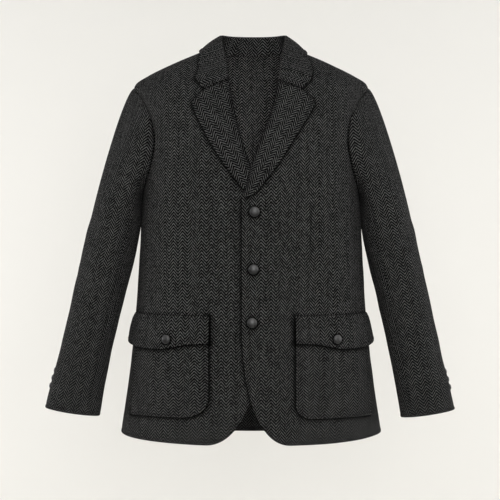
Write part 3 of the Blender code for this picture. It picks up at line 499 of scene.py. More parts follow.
    def lap(self, angle: Array, height: Array, side: int) -> Array:
        """Lift the left front where it lies over the right one.

        Args:
            angle: angles round the body.
            height: heights.
            side: 1 on the left, -1 on the right.

        Returns:
            The lift at each place.
        """
        if side < 0:
            return 0.0 * angle
        near = 1 - ease(self.lap_full, self.lap_end, self.surface(angle, height)[..., 0])
        low = ease(*self.lap_low, height)
        turn = self.roll_line[2].height
        bump = (ease(self.break_height - self.lap_break_fade, self.break_height, height)
                * (1 - ease(turn, turn + self.lap_break_fade, height)))
        return near * (self.lap_lift * low + self.lap_break_lift * bump)


BODY = BodyForm()
SHOULDER = np.array([BODY.shoulder_arm, BODY.armhole_top])
NECK = np.array([BODY.shoulder_neck, BODY.neck_point])


# ---------------------------------------------------------------- cloth shells
class Edge(Enum):
    """How an edge of a piece of cloth is finished."""

    TURNED = "turned in and stitched"
    SEAM = "sewn to the next piece, with a deep valley"
    PRESSED = "sewn to the next piece and pressed flat"
    HIDDEN = "under another piece"


@dataclass(frozen=True)
class EdgeFinish:
    """Relief of the cloth along its edges, and the shade painted beside them."""

    swell: float = 0.00045
    swell_at: float = 0.003
    swell_width: float = 0.0024
    groove: float = 0.0005
    stitch_at: float = 0.0062
    groove_width: float = 0.0011
    groove_shade: float = 0.25
    valley: float = 0.0011
    valley_width: float = 0.0024
    press: float = 0.00035
    press_at: float = 0.006
    press_width: float = 0.004
    flat_share: float = 0.25
    seam_shade: float = 0.75
    seam_shade_width: float = 0.003
    pressed_shade: float = 0.22
    pressed_shade_width: float = 0.002
    draw: float = 0.28

    def lift(self, edge: Edge, distance: Array) -> Array:
        """Give how far the outer skin moves out beside an edge.

        Args:
            edge: how the edge is finished.
            distance: distances from it.

        Returns:
            The lift at each distance.
        """
        if edge is Edge.TURNED:
            groove = self.groove * bell(distance - self.stitch_at, self.groove_width)
            return self.swell * bell(distance - self.swell_at, self.swell_width) - groove
        if edge in (Edge.SEAM, Edge.PRESSED):
            valley = self.valley * bell(distance, self.valley_width)
            press = self.press * bell(distance - self.press_at, self.press_width)
            return (press - valley) * (1.0 if edge is Edge.SEAM else self.flat_share)
        return 0.0 * distance

    def shade(self, edge: Edge, distance: Array) -> Array:
        """Give how much darker the cloth looks beside an edge.

        Args:
            edge: how the edge is finished.
            distance: distances from it.

        Returns:
            The shade at each distance.
        """
        if edge is Edge.SEAM:
            return self.seam_shade * bell(distance, self.seam_shade_width)
        if edge is Edge.PRESSED:
            return self.pressed_shade * bell(distance, self.pressed_shade_width)
        if edge is Edge.TURNED:
            return self.groove_shade * bell(distance - self.stitch_at, self.groove_width)
        return 0.0 * distance


EDGE_FINISH = EdgeFinish()
EDGE_PLACES = {"first_row": (0, slice(None)), "last_row": (-1, slice(None)),
               "first_column": (slice(None), 0), "last_column": (slice(None), -1)}
NEXT_PLACES = {"first_row": (1, slice(None)), "last_row": (-2, slice(None)),
               "first_column": (slice(None), 1), "last_column": (slice(None), -2)}
SIDES = tuple(EDGE_PLACES)


def steps_along(points: Array, axis: int) -> Array:
    """Give lengths from the first point on, along one way of a grid of points.

    Args:
        points: the grid.
        axis: 0 down its columns, 1 along its rows.

    Returns:
        The length at each point.
    """
    pieces = np.linalg.norm(np.diff(points, axis=axis), axis=-1)
    start = np.zeros_like(np.take(pieces, [0], axis=axis))
    return np.concatenate([start, np.cumsum(pieces, axis=axis)], axis=axis)


def fine_line(points: Array, pitch: float = 0.0008) -> Array:
    """Divide a line through points into steps of one pitch.

    Args:
        points: the line's points.
        pitch: metres of a step.

    Returns:
        The new points.
    """
    length = steps_along(points[:, None], 0)[:, 0]
    even = np.arange(0.0, length[-1], pitch)
    return np.stack([np.interp(even, length, points[:, axis]) for axis in range(3)], axis=-1)


def point_tree(points: Array) -> KDTree:
    """Sort points, to find the nearest one quickly.

    Args:
        points: the points.

    Returns:
        Their tree.
    """
    tree = KDTree(len(points))
    for number, point in enumerate(points):
        tree.insert(point, number)
    tree.balance()
    return tree


def grain(points: Array, across: Array, start_row: int, least: float = 0.3) -> Array:
    """Work out where each point of a grid lies on the flat cloth.

    Args:
        points: the grid's points, whose columns run along the cloth's length.
        across: their places across the cloth.
        start_row: the row from which lengths are counted.
        least: the least share of a step that counts as length.

    Returns:
        Places along the cloth's length.
    """
    piece = np.linalg.norm(np.diff(points, axis=0), axis=-1)
    aside = np.diff(across, axis=0)
    length = np.sqrt(np.maximum(piece ** 2 - aside ** 2, (least * piece) ** 2))
    along = np.concatenate([np.zeros_like(length[:1]), np.cumsum(length, axis=0)], axis=0)
    return along - along[start_row]


@dataclass
class Cloth:
    """One piece of cloth: two skins over a grid of places, closed round the edges."""

    name: str
    outer: Array
    inner: Array
    places: Array
    edges: dict[str, Edge]
    shade: Array | None = None
    weights: dict[str, Array] | None = None
    tree: KDTree | None = None
    # added to the shade on the inner skin only: painted shade where above zero, painted light where
    # below
    inside: Array | float = 0.0

    def line(self, side: str) -> Array:
        """Give one edge of the outer skin as a fine line."""
        return fine_line(self.outer[EDGE_PLACES[side]])

    def darken(self, line: Array, reach: float, strength: float) -> None:
        """Shade the cloth beside a line where another piece lies on it.

        Args:
            line: the other piece's edge, as close points.
            reach: metres over which the shade dies away.
            strength: the darkest shade, between 0 and 1.
        """
        if self.shade is None:
            self.shade = np.zeros(self.outer.shape[:2])
        places = self.outer.reshape(-1, 3)
        ways = unit(self.outer - self.inner).reshape(-1, 3)
        self.tree = self.tree or point_tree(places)
        nearest = np.array([self.tree.find(point)[1] for point in line])
        off = np.sum((line - places[nearest]) * ways[nearest], axis=-1, keepdims=True)
        line = line - off * ways[nearest]
        tree = point_tree(line)
        margin = 3 * reach
        near = np.all((self.outer > line.min(axis=0) - margin)
                      & (self.outer < line.max(axis=0) + margin), axis=-1)
        away = np.array([tree.find(point)[2] for point in self.outer[near]])
        shade = strength * bell(away, reach)
        self.shade[near] = 1 - (1 - self.shade[near]) * (1 - shade)

    def distances(self) -> dict[str, Array]:
        """Give every point's distance from each of the four edges.

        Returns:
            The distances, by edge.
        """
        down = steps_along(self.outer, 0)
        across = steps_along(self.outer, 1)
        return {"first_row": down, "last_row": down[-1:] - down,
                "first_column": across, "last_column": across[:, -1:] - across}

    def dress_edges(self) -> None:
        """Press, swell and stitch the edges, and note where the cloth is shaded."""
        away = self.distances()
        lift = np.zeros(self.outer.shape[:2])
        shade = np.zeros_like(lift)
        for side in SIDES:
            edge = self.edges.get(side, Edge.HIDDEN)
            weight = (self.weights or {}).get(side, 1.0)
            lift = lift + EDGE_FINISH.lift(edge, away[side]) * weight
            shade = np.maximum(shade, EDGE_FINISH.shade(edge, away[side]) * weight)
        self.shade = shade if self.shade is None else np.maximum(shade, self.shade)
        self.outer = self.outer + unit(self.outer - self.inner) * lift[..., None]

    def trim(self) -> None:
        """Draw the seam edges in, so that neighbours don't touch, and round the free ones."""
        thick = self.outer - self.inner
        inward = {side: self.outer[NEXT_PLACES[side]] - self.outer[place]
                  for side, place in EDGE_PLACES.items()}
        for side, place in EDGE_PLACES.items():
            if self.edges.get(side) is Edge.TURNED:
                inner = EDGE_FINISH.draw * thick[place]
                outer = -inner
            else:
                outer = inner = unit(inward[side]) * SEAM_TRIM
            self.outer[place] = self.outer[place] + outer
            self.inner[place] = self.inner[place] + inner

    def rim(self) -> Array:
        """Give the grid's indices round its edge, in the order of its faces.

        Returns:
            The indices.
        """
        rows, columns = self.outer.shape[:2]
        index = np.arange(rows * columns).reshape(rows, columns)
        return np.concatenate([index[0, :-1], index[:-1, -1], index[-1, :0:-1], index[:0:-1, 0]])

    def build(self) -> bpy.types.Object:
        """Make the mesh, with its UV map in metres of cloth and its shading attribute.

        Returns:
            The object, at the origin.
        """
        self.dress_edges()
        self.trim()
        rows, columns = self.outer.shape[:2]
        count = rows * columns
        index = np.arange(count).reshape(rows, columns)
        quads = np.stack([index[:-1, :-1], index[:-1, 1:], index[1:, 1:], index[1:, :-1]],
                         axis=-1).reshape(-1, 4)
        rim = self.rim()
        after = np.roll(rim, -1)
        middle = 2 * count + np.arange(len(rim))
        middle_after = np.roll(middle, -1)
        faces = np.concatenate([
            quads,
            quads[:, ::-1] + count,
            joined(after, rim, middle, middle_after),
            joined(middle_after, middle, rim + count, after + count),
        ])
        around = np.cross(self.outer[:-1, 1:] - self.outer[:-1, :-1],
                          self.outer[1:, :-1] - self.outer[:-1, :-1])
        if np.sum(around * (self.outer - self.inner)[:-1, :-1]) < 0:
            faces = faces[:, ::-1]
        outer = self.outer.reshape(-1, 3)
        inner = self.inner.reshape(-1, 3)
        between = (outer[rim] + inner[rim]) / 2
        points = np.concatenate([outer, inner, between])
        places = self.places.reshape(-1, 2)
        places = np.concatenate([places, places, places[rim]])
        shade = self.shade.reshape(-1)
        inside = (self.shade + self.inside).reshape(-1)
        shade = np.concatenate([shade, inside, shade[rim]])
        mesh = bpy.data.meshes.new(self.name)
        mesh.from_pydata(points.tolist(), [], faces.tolist())
        layer = mesh.uv_layers.new(name="cloth")
        corners = np.empty(len(mesh.loops), dtype=np.int64)
        mesh.loops.foreach_get("vertex_index", corners)
        layer.data.foreach_set("uv", places[corners].astype(np.float32).ravel())
        tone = mesh.attributes.new("shade", "FLOAT", "POINT")
        tone.data.foreach_set("value", shade.astype(np.float32))
        mesh.shade_smooth()
        mesh.update()
        return add_object(self.name, mesh)


def spread(first_row: Array, last_row: Array, first_column: Array, last_column: Array,
           down: Array, across: Array, hold: float = 1) -> Array:
    """Fill in places between four edges that share their corners.

    Args:
        first_row: places along the first row.
        last_row: places along the last row.
        first_column: places down the first column.
        last_column: places down the last column.
        down: share of each row, from 0 to 1.
        across: share of each column, from 0 to 1.
        hold: keeps the last row's shape to itself.

    Returns:
        Places over the whole grid.
    """
    down = down[:, None, None]
    across = across[None, :, None]
    between = (1 - across) * first_column[:, None] + across * last_column[:, None]
    bow_first = first_row - ((1 - across[0]) * first_row[0] + across[0] * first_row[-1])
    bow_last = last_row - ((1 - across[0]) * last_row[0] + across[0] * last_row[-1])
    return between + (1 - down) * bow_first + down ** hold * bow_last


@dataclass
class BodyGrain:
    """Flat places of the body's cloth, read from a table over angle and height."""

    form: BodyForm
    turn_span: Pair = (-125.0, 92.0)
    turn_count: int = 435
    height_span: Pair = (-0.76, 0.024)
    height_count: int = 393
    waist: float = -0.4
    chest: float = -0.17
    half_width: float = 0.23
    aside_count: int = 231

    def __post_init__(self) -> None:
        """Measure the body's surface once."""
        self.angles = np.radians(np.linspace(*self.turn_span, self.turn_count))
        self.heights = np.linspace(*self.height_span, self.height_count)
        angle, height = np.meshgrid(self.angles, self.heights)
        points = self.form.surface(angle, height)
        across = steps_along(points, 1)
        front = int(np.argmin(np.abs(self.angles + math.pi / 2)))
        self.across = across - across[:, front:front + 1]
        start = int(np.argmin(np.abs(self.heights - self.waist)))
        self.along = grain(points, self.across, start)
        half = self.across[:, int(np.argmin(np.abs(self.angles - math.pi / 2)))]
        self.back_across = half[:, None] - self.across
        self.back_along = grain(points, self.back_across, start)
        self.over_shoulders(points[..., 0])

    def climb(self, depth: Array, aside: Array, heights: Array) -> Array:
        """Measure lengths up the body, along lines that keep their distance from the centre.

        Args:
            depth: the body's depth at each height.
            aside: distances from the centre.
            heights: heights, from the chest up.

        Returns:
            The lengths, rows by height.
        """
        wide = self.form.column("half_width", heights)[:, None]
        square = self.form.column("square", heights)[:, None]
        inside = np.clip(1 - (aside[None, :] / wide) ** square, 0.0, 1.0)
        reach = depth[:, None] * inside ** (1.0 / square)
        steps = np.hypot(np.diff(heights)[:, None], np.diff(reach, axis=0)) * (reach[:-1] > 0)
        return np.concatenate([np.zeros_like(steps[:1]), np.cumsum(steps, axis=0)], axis=0)

    def over_shoulders(self, x: Array) -> None:
        """Carry the grain straight up from the chest and over the shoulders.

        Args:
            x: the surface's places across.
        """
        low = int(np.argmin(np.abs(self.heights - self.chest)))
        heights = self.heights[low:]
        aside = np.linspace(0.0, self.half_width, self.aside_count)
        front_climb = self.climb(self.form.column("front", heights), aside, heights)
        back_climb = self.climb(self.form.column("back", heights), aside, heights)
        fore = (self.angles >= -math.pi / 2) & (self.angles <= 0)
        hind = (self.angles > 0) & (self.angles <= math.pi / 2)
        ridge = np.abs(x[low, fore])
        ridge_back = np.abs(x[low, hind])[::-1]
        front_along, front_across = self.along[low, fore], self.across[low, fore]
        back_along = self.back_along[low, hind][::-1]
        back_across = self.back_across[low, hind][::-1]
        for row in range(low + 1, len(self.heights)):
            far = np.abs(x[row])
            beyond = np.maximum(far - ridge[-1], 0.0)
            self.across[row] = np.sign(x[row]) * (np.interp(far, ridge, front_across) + beyond)
            up = np.interp(far, aside, front_climb[row - low])
            down = (np.interp(far, aside, front_climb[-1]) + np.interp(far, aside, back_climb[-1])
                    - np.interp(far, aside, back_climb[row - low]))
            self.along[row] = np.interp(far, ridge, front_along) + np.where(self.angles <= 0, up, down)
            self.back_across[row] = np.interp(far, ridge_back, back_across) + beyond
            self.back_along[row] = (np.interp(far, ridge_back, back_along)
                                    + np.interp(far, aside, back_climb[row - low]))

    def read(self, table: Array, angle: Array, height: Array) -> Array:
        """Read a table between its points.

        Args:
            table: the table.
            angle: angles round the body.
            height: heights.

        Returns:
            The values.
        """
        column = np.clip((angle - self.angles[0]) / (self.angles[1] - self.angles[0]), 0,
                         len(self.angles) - 1.001)
        row = np.clip((height - self.heights[0]) / (self.heights[1] - self.heights[0]), 0,
                      len(self.heights) - 1.001)
        left, low = column.astype(int), row.astype(int)
        part, up = column - left, row - low
        return ((table[low, left] * (1 - part) + table[low, left + 1] * part) * (1 - up)
                + (table[low + 1, left] * (1 - part) + table[low + 1, left + 1] * part) * up)

    def front(self, angle: Array, height: Array, side: int) -> Array:
        """Give flat places on a front, from the centre line and a level line."""
        across = self.read(self.across, angle, height)
        return joined(side * across, self.read(self.along, angle, height))

    def back(self, angle: Array, height: Array) -> Array:
        """Give flat places on the back, from its centre line.

        Args:
            angle: angles round the body.
            height: heights.

        Returns:
            The places across and along the cloth.
        """
        near = np.where(angle > math.pi / 2, math.pi - angle, angle)
        across = self.read(self.back_across, near, height) * np.sign(angle - math.pi / 2)
        return joined(across, self.read(self.back_along, near, height))


GRAIN = BodyGrain(BODY)


# ---------------------------------------------------------------- body panels
def lay_cloth(name: str, angle: Array, height: Array, lift: Array, places: Array,
              edges: dict[str, Edge], **more: object) -> Cloth:
    """Make a piece of cloth that lies over the body.

    Args:
        name: its node.
        angle: its grid's angles.
        height: its heights.
        lift: lifts of its outer skin.
        places: flat places of the cloth.
        edges: how its edges are finished.
        more: the piece's other fields.

    Returns:
        The piece.
    """
    return Cloth(f"tweed_{name}", BODY.laid(angle, height, lift),
                 BODY.laid(angle, height, lift - CLOTH), places, edges, **more)


@dataclass
class BodyPanels:
    """The two fronts and the back."""

    front_rows: tuple[int, int] = (160, 92)
    back_rows: tuple[int, int] = (66, 50)
    front_columns: int = 112
    front_width: float = 0.36
    shoulder_columns: int = 32
    neck_columns: int = 44
    hem_lines: tuple[float, ...] = (0.0, 0.0018, 0.005, 0.0102, 0.0136, 0.018)
    hem_end: float = 0.026
    top_start: float = 0.972
    top_lines: tuple[float, ...] = (0.982, 0.99, 0.9965, 1.0)
    parts: tuple[int, int] = (14, 12)
    neck_row: float = 11 / 12
    shoulder_hold: float = 6.0
    hem_gather: float = 1.4
    break_row_rise: float = 0.012
    seam_cells: int = 10
    seam_length: float = 0.1
    seam_lines: int = 6
    seam_share: float = 0.2
    seam_fade: Pair = (-0.165, -0.095)
    seam_least: float = 0.12
    inside_span: Pair = (-0.62, -0.3)
    inside_shade: float = 0.4
    inside_light: float = 0.95

    def rows(self, counts: tuple[int, int]) -> tuple[Array, Array]:
        """Give the shares of the rows below the armhole and of those beside it.

        Args:
            counts: the numbers of even rows below and beside it.

        Returns:
            Both lists of shares.
        """
        below = np.concatenate([self.hem_lines, np.linspace(self.hem_end, 1.0, counts[0])])
        beside = np.concatenate([np.linspace(0.0, self.top_start, counts[1]), self.top_lines])
        return below, beside

    def down(self, below: Array, beside: Array) -> Array:
        """Give every row's share of a panel's height.

        Args:
            below: shares of the rows below the armhole.
            beside: shares of those beside it.

        Returns:
            The shares.
        """
        low, high = self.parts
        total = low + high
        return np.concatenate([below[:-1] * low / total, low / total + beside * high / total])

    def outside(self, below: Array, beside: Array, way: int) -> Array:
        """Place a panel's edge up the side seam and round the armhole.

        Args:
            below: shares of the rows below the armhole.
            beside: shares of those beside it.
            way: -1 round the front of the armhole, 1 round its back.

        Returns:
            Angles and heights.
        """
        low = BODY.hem_height(BODY.side_seam)
        heights = low + (BODY.armhole_bottom - low) * below
        hole = BODY.armhole(way * (math.pi - math.pi * beside[1:]))
        return np.vstack([joined(np.full_like(heights, BODY.side_seam), heights), joined(*hole)])

    def seam_weight(self, height: Array) -> Array:
        """Give how deep the armhole's seam is, and how dark the shade painted beside it, at a height:
        flat over the shoulder.
        """
        return 1 - (1 - self.seam_least) * ease(*self.seam_fade, height)

    def front_places(self, side: int) -> tuple[Array, Array]:
        """Place a front's grid over the body.

        Args:
            side: 1 on the left, -1 on the right.

        Returns:
            Angles and heights, rows first.
        """
        below, beside = self.rows(self.front_rows)
        corner = BODY.cutaway_split * math.pi / 2
        tall = BODY.corner_depth()
        corner_height = BODY.cutaway_top - tall * math.sin(corner) ** (2 / BODY.cutaway_power)
        bend = BODY.break_height + self.break_row_rise
        last = BODY.neckline[-1].height
        edge_heights = np.concatenate([
            corner_height + (bend - corner_height) * below[:-1],
            np.interp(beside, [0.0, self.neck_row, 1.0], [bend, last, BODY.neck_point])])
        edge_angles = BODY.front_angle(BODY.front_edge(edge_heights, side), edge_heights)
        turn = float(BODY.front_angle(BODY.front_edge(np.array(last), side), np.array(last)))
        over = np.clip((edge_heights - last) / (BODY.neck_point - last), 0, 1)
        edge_angles = np.where(edge_heights > last, turn + (NECK[0] - turn) * over, edge_angles)
        across = shares(self.front_columns, self.front_width)
        hem_share = across ** self.hem_gather
        angles = edge_angles[0] + (BODY.side_seam - edge_angles[0]) * hem_share
        heights = BODY.hem_height(angles)
        heights = heights + BODY.corner_rise(BODY.surface(angles, heights)[..., 0], side)
        heights[0] = corner_height
        places = spread(joined(angles, heights), NECK + (SHOULDER - NECK) * across[:, None],
                        joined(edge_angles, edge_heights), self.outside(below, beside, -1),
                        self.down(below, beside), across)
        return places[..., 0], places[..., 1]

    def front(self, side: int) -> Cloth:
        """Cut and place one front.

        Args:
            side: 1 on the left, -1 on the right.

        Returns:
            The piece of cloth.
        """
        angle, height = self.front_places(side)
        turned = side_angle(angle, side)
        edges = {"first_row": Edge.TURNED, "first_column": Edge.TURNED,
                 "last_row": Edge.PRESSED, "last_column": Edge.SEAM}
        return lay_cloth(f"front_{hand_name(side)}", turned, height, BODY.lap(turned, height, side),
                         GRAIN.front(angle, height, side), edges,
                         weights={"last_column": self.seam_weight(height[:, -1:])})

    def back(self) -> Cloth:
        """Cut and place the back, from side seam to side seam.

        Returns:
            The piece of cloth.
        """
        below, beside = self.rows(self.back_rows)
        left = self.outside(below, beside, 1)
        share = self.shoulder_columns / (2 * self.shoulder_columns + self.neck_columns)
        edge = shares(self.seam_cells, self.seam_length)[:self.seam_lines]
        near = np.concatenate([edge * share * self.seam_share / edge[-1], np.linspace(
            share * self.seam_share, share, self.shoulder_columns)[1:]])
        middle = np.linspace(share, 1 - share, self.neck_columns + 1)[1:-1]
        across = np.concatenate([near, middle, 1 - near[::-1]])
        angles = BODY.side_seam + (math.pi - 2 * BODY.side_seam) * across
        shoulder = SHOULDER + (NECK - SHOULDER) * (near / share)[:, None]
        span = math.pi - 2 * BODY.shoulder_neck
        neck_angles = BODY.shoulder_neck + span * (middle - share) / (1 - 2 * share)
        neck = joined(neck_angles, BODY.back_edge(neck_angles))
        mirror, shift = [-1, 1], [math.pi, 0]
        top = np.vstack([shoulder, neck, (shoulder * mirror + shift)[::-1]])
        places = spread(joined(angles, BODY.hem_height(angles)), top, left, left * mirror + shift,
                        self.down(below, beside), across, hold=self.shoulder_hold)
        angle, height = places[..., 0], places[..., 1]
        edges = {"first_row": Edge.TURNED, "last_row": Edge.PRESSED,
                 "first_column": Edge.SEAM, "last_column": Edge.SEAM}
        weight = self.seam_weight(height[:, :1])
        # painted shade on the inside of the back towards the hem, and painted light on it near the neck
        inside = self.inside_shade - self.inside_light * ease(*self.inside_span, height)
        return lay_cloth("back", angle, height, 0.0 * angle, GRAIN.back(angle, height), edges,
                         weights={"first_column": weight, "last_column": weight}, inside=inside)


# ---------------------------------------------------------------- sleeves
class ArmRing(NamedTuple):
    """One section across a sleeve below the armhole."""

    height: float
    out: float
    fore: float
    half_width: float
    half_depth: float


class Crease(NamedTuple):
    """A soft crease across a sleeve; the turn is 0 outward and -90 degrees forward."""

    turn: float
    height: float
    width: float
    length: float
    lean: float
    depth: float


@dataclass(frozen=True)
class SleeveForm:
    """A two-piece sleeve, set into the armhole; worked out for the wearer's left."""

    rings: tuple[ArmRing, ...] = listed(
        ArmRing,
        (-0.31, 0.2606, 0.002, 0.0488, 0.072),
        (-0.363, 0.2722, 0.004, 0.0506, 0.069),
        (-0.46, 0.2953, 0.005, 0.0496, 0.062),
        (-0.557, 0.3168, -0.003, 0.049, 0.053),
        (-0.654, 0.3369, -0.015, 0.0517, 0.044),
        (-0.684, 0.3428, -0.019, 0.0527, 0.0415))
    spread: Pair = (-0.002, 0.0012)
    rise: Pair = (0.0, 0.003)
    cuff_tilt: float = math.radians(8.8)
    turns: int = 24
    forearm_cell: int = -8
    hind_cell: int = 7
    hind_cuff: float = math.radians(22.0)
    forearm_cuff: float = math.radians(-128.0)
    swing: float = 1.4
    creases: tuple[Crease, ...] = listed(
        Crease,
        (-80.0, -0.455, 45.0, 0.016, 0.0004, -0.003),
        (-95.0, -0.505, 50.0, 0.018, -0.0003, -0.0035),
        (95.0, -0.48, 45.0, 0.02, 0.0004, -0.003),
        (-60.0, -0.35, 40.0, 0.022, 0.0006, -0.003),
        (100.0, -0.34, 45.0, 0.022, -0.0005, -0.0035),
        (-70.0, -0.59, 40.0, 0.022, 0.0003, -0.0025))
    soft_creases: tuple[Crease, ...] = listed(
        Crease,
        (-115.0, -0.392, 26.0, 0.01, -0.0005, -0.0014),
        (-30.0, -0.43, 30.0, 0.009, 0.0006, 0.0009),
        (-50.0, -0.54, 34.0, 0.01, -0.0004, 0.0011),
        (-120.0, -0.56, 30.0, 0.011, 0.0005, -0.0016),
        (-20.0, -0.35, 26.0, 0.014, 0.0008, 0.001),
        (60.0, -0.42, 30.0, 0.011, -0.0005, 0.0012),
        (130.0, -0.51, 34.0, 0.012, 0.0004, -0.0018),
        (20.0, -0.62, 26.0, 0.014, 0.0003, 0.0008),
        (-90.0, -0.648, 30.0, 0.012, -0.0003, -0.0012))
    head_drop: float = math.radians(12.0)
    head_fullness: float = 0.2
    head_start: Pair = (0.22, 0.16)
    head_end: Pair = (0.8, 0.0)
    clearance: float = 0.0004
    wave: float = 0.0007
    wave_size: Pair = (26.0, 0.017)
    wave_fade: float = 0.03
    flat_span: Pair = (0.75, 1.0)
    flat_steps: int = 24

    def column(self, name: str, height: Array) -> Array:
        """Read one column of the rings at a height."""
        knots = [ring.height for ring in self.rings][::-1]
        return smooth(knots, [getattr(ring, name) for ring in self.rings][::-1], height)

    def middle(self, height: Array, side: int) -> Array:
        """Give the middle of the sleeve at a height.

        Args:
            height: heights.
            side: 1 on the left, -1 on the right.

        Returns:
            The middles.
        """
        hand = 0 if side > 0 else 1
        top, low = self.rings[0].height, self.rings[-1].height
        reach = (top - height) / (top - low)
        level = height + self.rise[hand] * reach ** 2
        out = self.column("out", height) + self.spread[hand] * reach
        return joined(out, self.column("fore", height), level)

    def arm(self, turn: Array, height: Array, side: int) -> Array:
        """Place points of the outer skin on the ring whose middle is at a height.

        Args:
            turn: 0 outward, -90 degrees forward.
            height: heights of the rings.
            side: 1 on the left, -1 on the right.

        Returns:
            The points.
        """
        step = 0.004
        slope = self.middle(height - step, side) - self.middle(height + step, side)
        tilt = np.arctan2(slope[..., 0], -slope[..., 2])
        near_cuff = 1 - ease(self.rings[-1].height, self.rings[-2].height, height)
        tilt = tilt + (self.cuff_tilt - tilt) * near_cuff
        lift = 0.0 * turn
        for crease in self.creases + self.soft_creases:
            off = (np.degrees(turn) - crease.turn + 180) % 360 - 180
            level = height - crease.height - crease.lean * off
            lift = lift + crease.depth * bell(off, crease.width) * bell(level, crease.length)
        waves = uneven(np.degrees(turn) / self.wave_size[0], height / self.wave_size[1], 3.0 + side)
        lift = lift + self.wave * waves * self.fade(height)
        across = (self.column("half_width", height) + lift) * np.cos(turn)
        middle = self.middle(height, side)
        x = middle[..., 0] + across * np.cos(tilt)
        y = middle[..., 1] + (self.column("half_depth", height) + lift) * np.sin(turn)
        z = middle[..., 2] + across * np.sin(tilt)
        return joined(x, y, z)

    def fade(self, height: Array) -> Array:
        """Let the cloth's unevenness die away where the arm meets the sleeve's head."""
        return ease(-self.rings[0].height, self.wave_fade - self.rings[0].height, -height)

    def rim(self, turn: Array, side: int) -> Array:
        """Place the outer edge of the armhole, as if it were on the wearer's left."""
        angle, height = BODY.armhole(turn)
        return BODY.laid(side_angle(angle, side), height, 0.0 * height) * [side, 1, 1]

    def start(self, turn: Array, side: int) -> Array:
        """Place the first edge of the sleeve, just inside the armhole's rim.

        Args:
            turn: turns round the armhole.
            side: 1 on the left, -1 on the right.

        Returns:
            The points.
        """
        step = 0.01
        angle, height = BODY.armhole(turn)
        rim = self.rim(turn, side)
        along = unit(self.rim(turn + step, side) - self.rim(turn - step, side))
        outward = BODY.normal(side_angle(angle, side), height) * [side, 1, 1]
        inward = unit(np.cross(outward, along))
        centre = self.rim(np.array([0.0, math.pi]), side).mean(axis=0)
        inward = inward * np.sign(np.sum(inward * (centre - rim), axis=-1, keepdims=True))
        return rim + inward * self.clearance

    def point(self, turn: Array, reach: Array, side: int) -> Array:
        """Place points of the outer skin.

        Args:
            turn: turns round the sleeve.
            reach: 0 at the armhole, 1 below it, 2 at the cuff.
            side: 1 on the left, -1 on the right.

        Returns:
            The points.
        """
        step = 0.002
        low = 1 - np.cos(turn)
        start = self.start(turn, side)
        top = np.full_like(turn, self.rings[0].height)
        end = self.arm(turn, top, side)
        arm_way = unit(self.arm(turn, top - step, side) - end)
        drop = np.tan(self.head_drop) * (0.5 + 0.5 * np.cos(turn)) ** 2
        full = self.head_fullness * np.sin(turn)
        head_way = unit(joined(np.ones_like(turn), full, -drop))
        chord = np.linalg.norm(end - start, axis=-1)
        out = (chord * (self.head_start[0] + self.head_start[1] * low))[..., None] * head_way
        down = (chord * (self.head_end[0] + self.head_end[1] * low))[..., None] * arm_way
        part = np.clip(reach, 0.0, 1.0)[..., None]
        rise = part * part * (3 - 2 * part)
        head = (start * (1 - rise) + end * rise + out * part * (1 - part) ** 2
                - down * part * part * (1 - part))
        height = self.height(reach)
        return np.where(reach[..., None] < 1, head, self.arm(turn, height, side))

    def height(self, reach: Array) -> Array:
        """Give the height of the ring at a reach below the sleeve's head."""
        top, low = self.rings[0].height, self.rings[-1].height
        return top + (low - top) * np.clip(reach - 1, 0.0, 1.1)

    def skins(self, turn: Array, reach: Array, side: int) -> tuple[Array, Array]:
        """Place the outer and inner skins over a grid of places.

        Args:
            turn: turns round the sleeve.
            reach: reaches down it.
            side: 1 on the left, -1 on the right.

        Returns:
            The points of both.
        """
        step = 0.002
        point = self.point(turn, reach, side)
        around = self.point(turn + step, reach, side) - self.point(turn - step, reach, side)
        down = self.point(turn, reach + step, side) - point
        return point, point + unit(np.cross(around, down)) * CLOTH

    def seam_turn(self, hind: bool, reach: Array) -> Array:
        """Find a seam of the sleeve.

        Args:
            hind: the hind seam, or else the forearm's.
            reach: reaches down the sleeve.

        Returns:
            The seam's turns.
        """
        cell = self.hind_cell if hind else self.forearm_cell
        cuff = self.hind_cuff if hind else self.forearm_cuff
        top = cell * 2 * math.pi / self.turns
        return top + (cuff - top) * (reach / 2) ** self.swing

    def flat_across(self, turn: Array, reach: Array, side: int) -> Array:
        """Give how far round the sleeve places lie from its outermost line.

        Args:
            turn: turns round the sleeve.
            reach: reaches down it.
            side: 1 on the left, -1 on the right.

        Returns:
            The flat distances.
        """
        ring = self.rings[0]
        point = self.point(turn, reach, side)
        slope = (self.rings[1].out - ring.out) / (self.rings[1].height - ring.height)
        out = point[..., 0] - (ring.out + slope * (point[..., 2] - ring.height))
        about = np.arctan2((point[..., 1] - ring.fore) / ring.half_depth, out / ring.half_width)
        about = turn + (about - turn + math.pi) % (2 * math.pi) - math.pi
        blend = ease(*self.flat_span, reach)
        about = np.where(reach < 1, about * (1 - blend) + turn * blend, turn)
        height = self.height(np.maximum(reach, 1.0))
        steps = self.flat_steps
        total = 0.0 * turn
        wide, deep = self.column("half_width", height), self.column("half_depth", height)
        for step in range(steps):
            at = about * (step + 0.5) / steps
            total = total + np.hypot(wide * np.sin(at), deep * np.cos(at)) * about / steps
        return total


SLEEVE = SleeveForm()


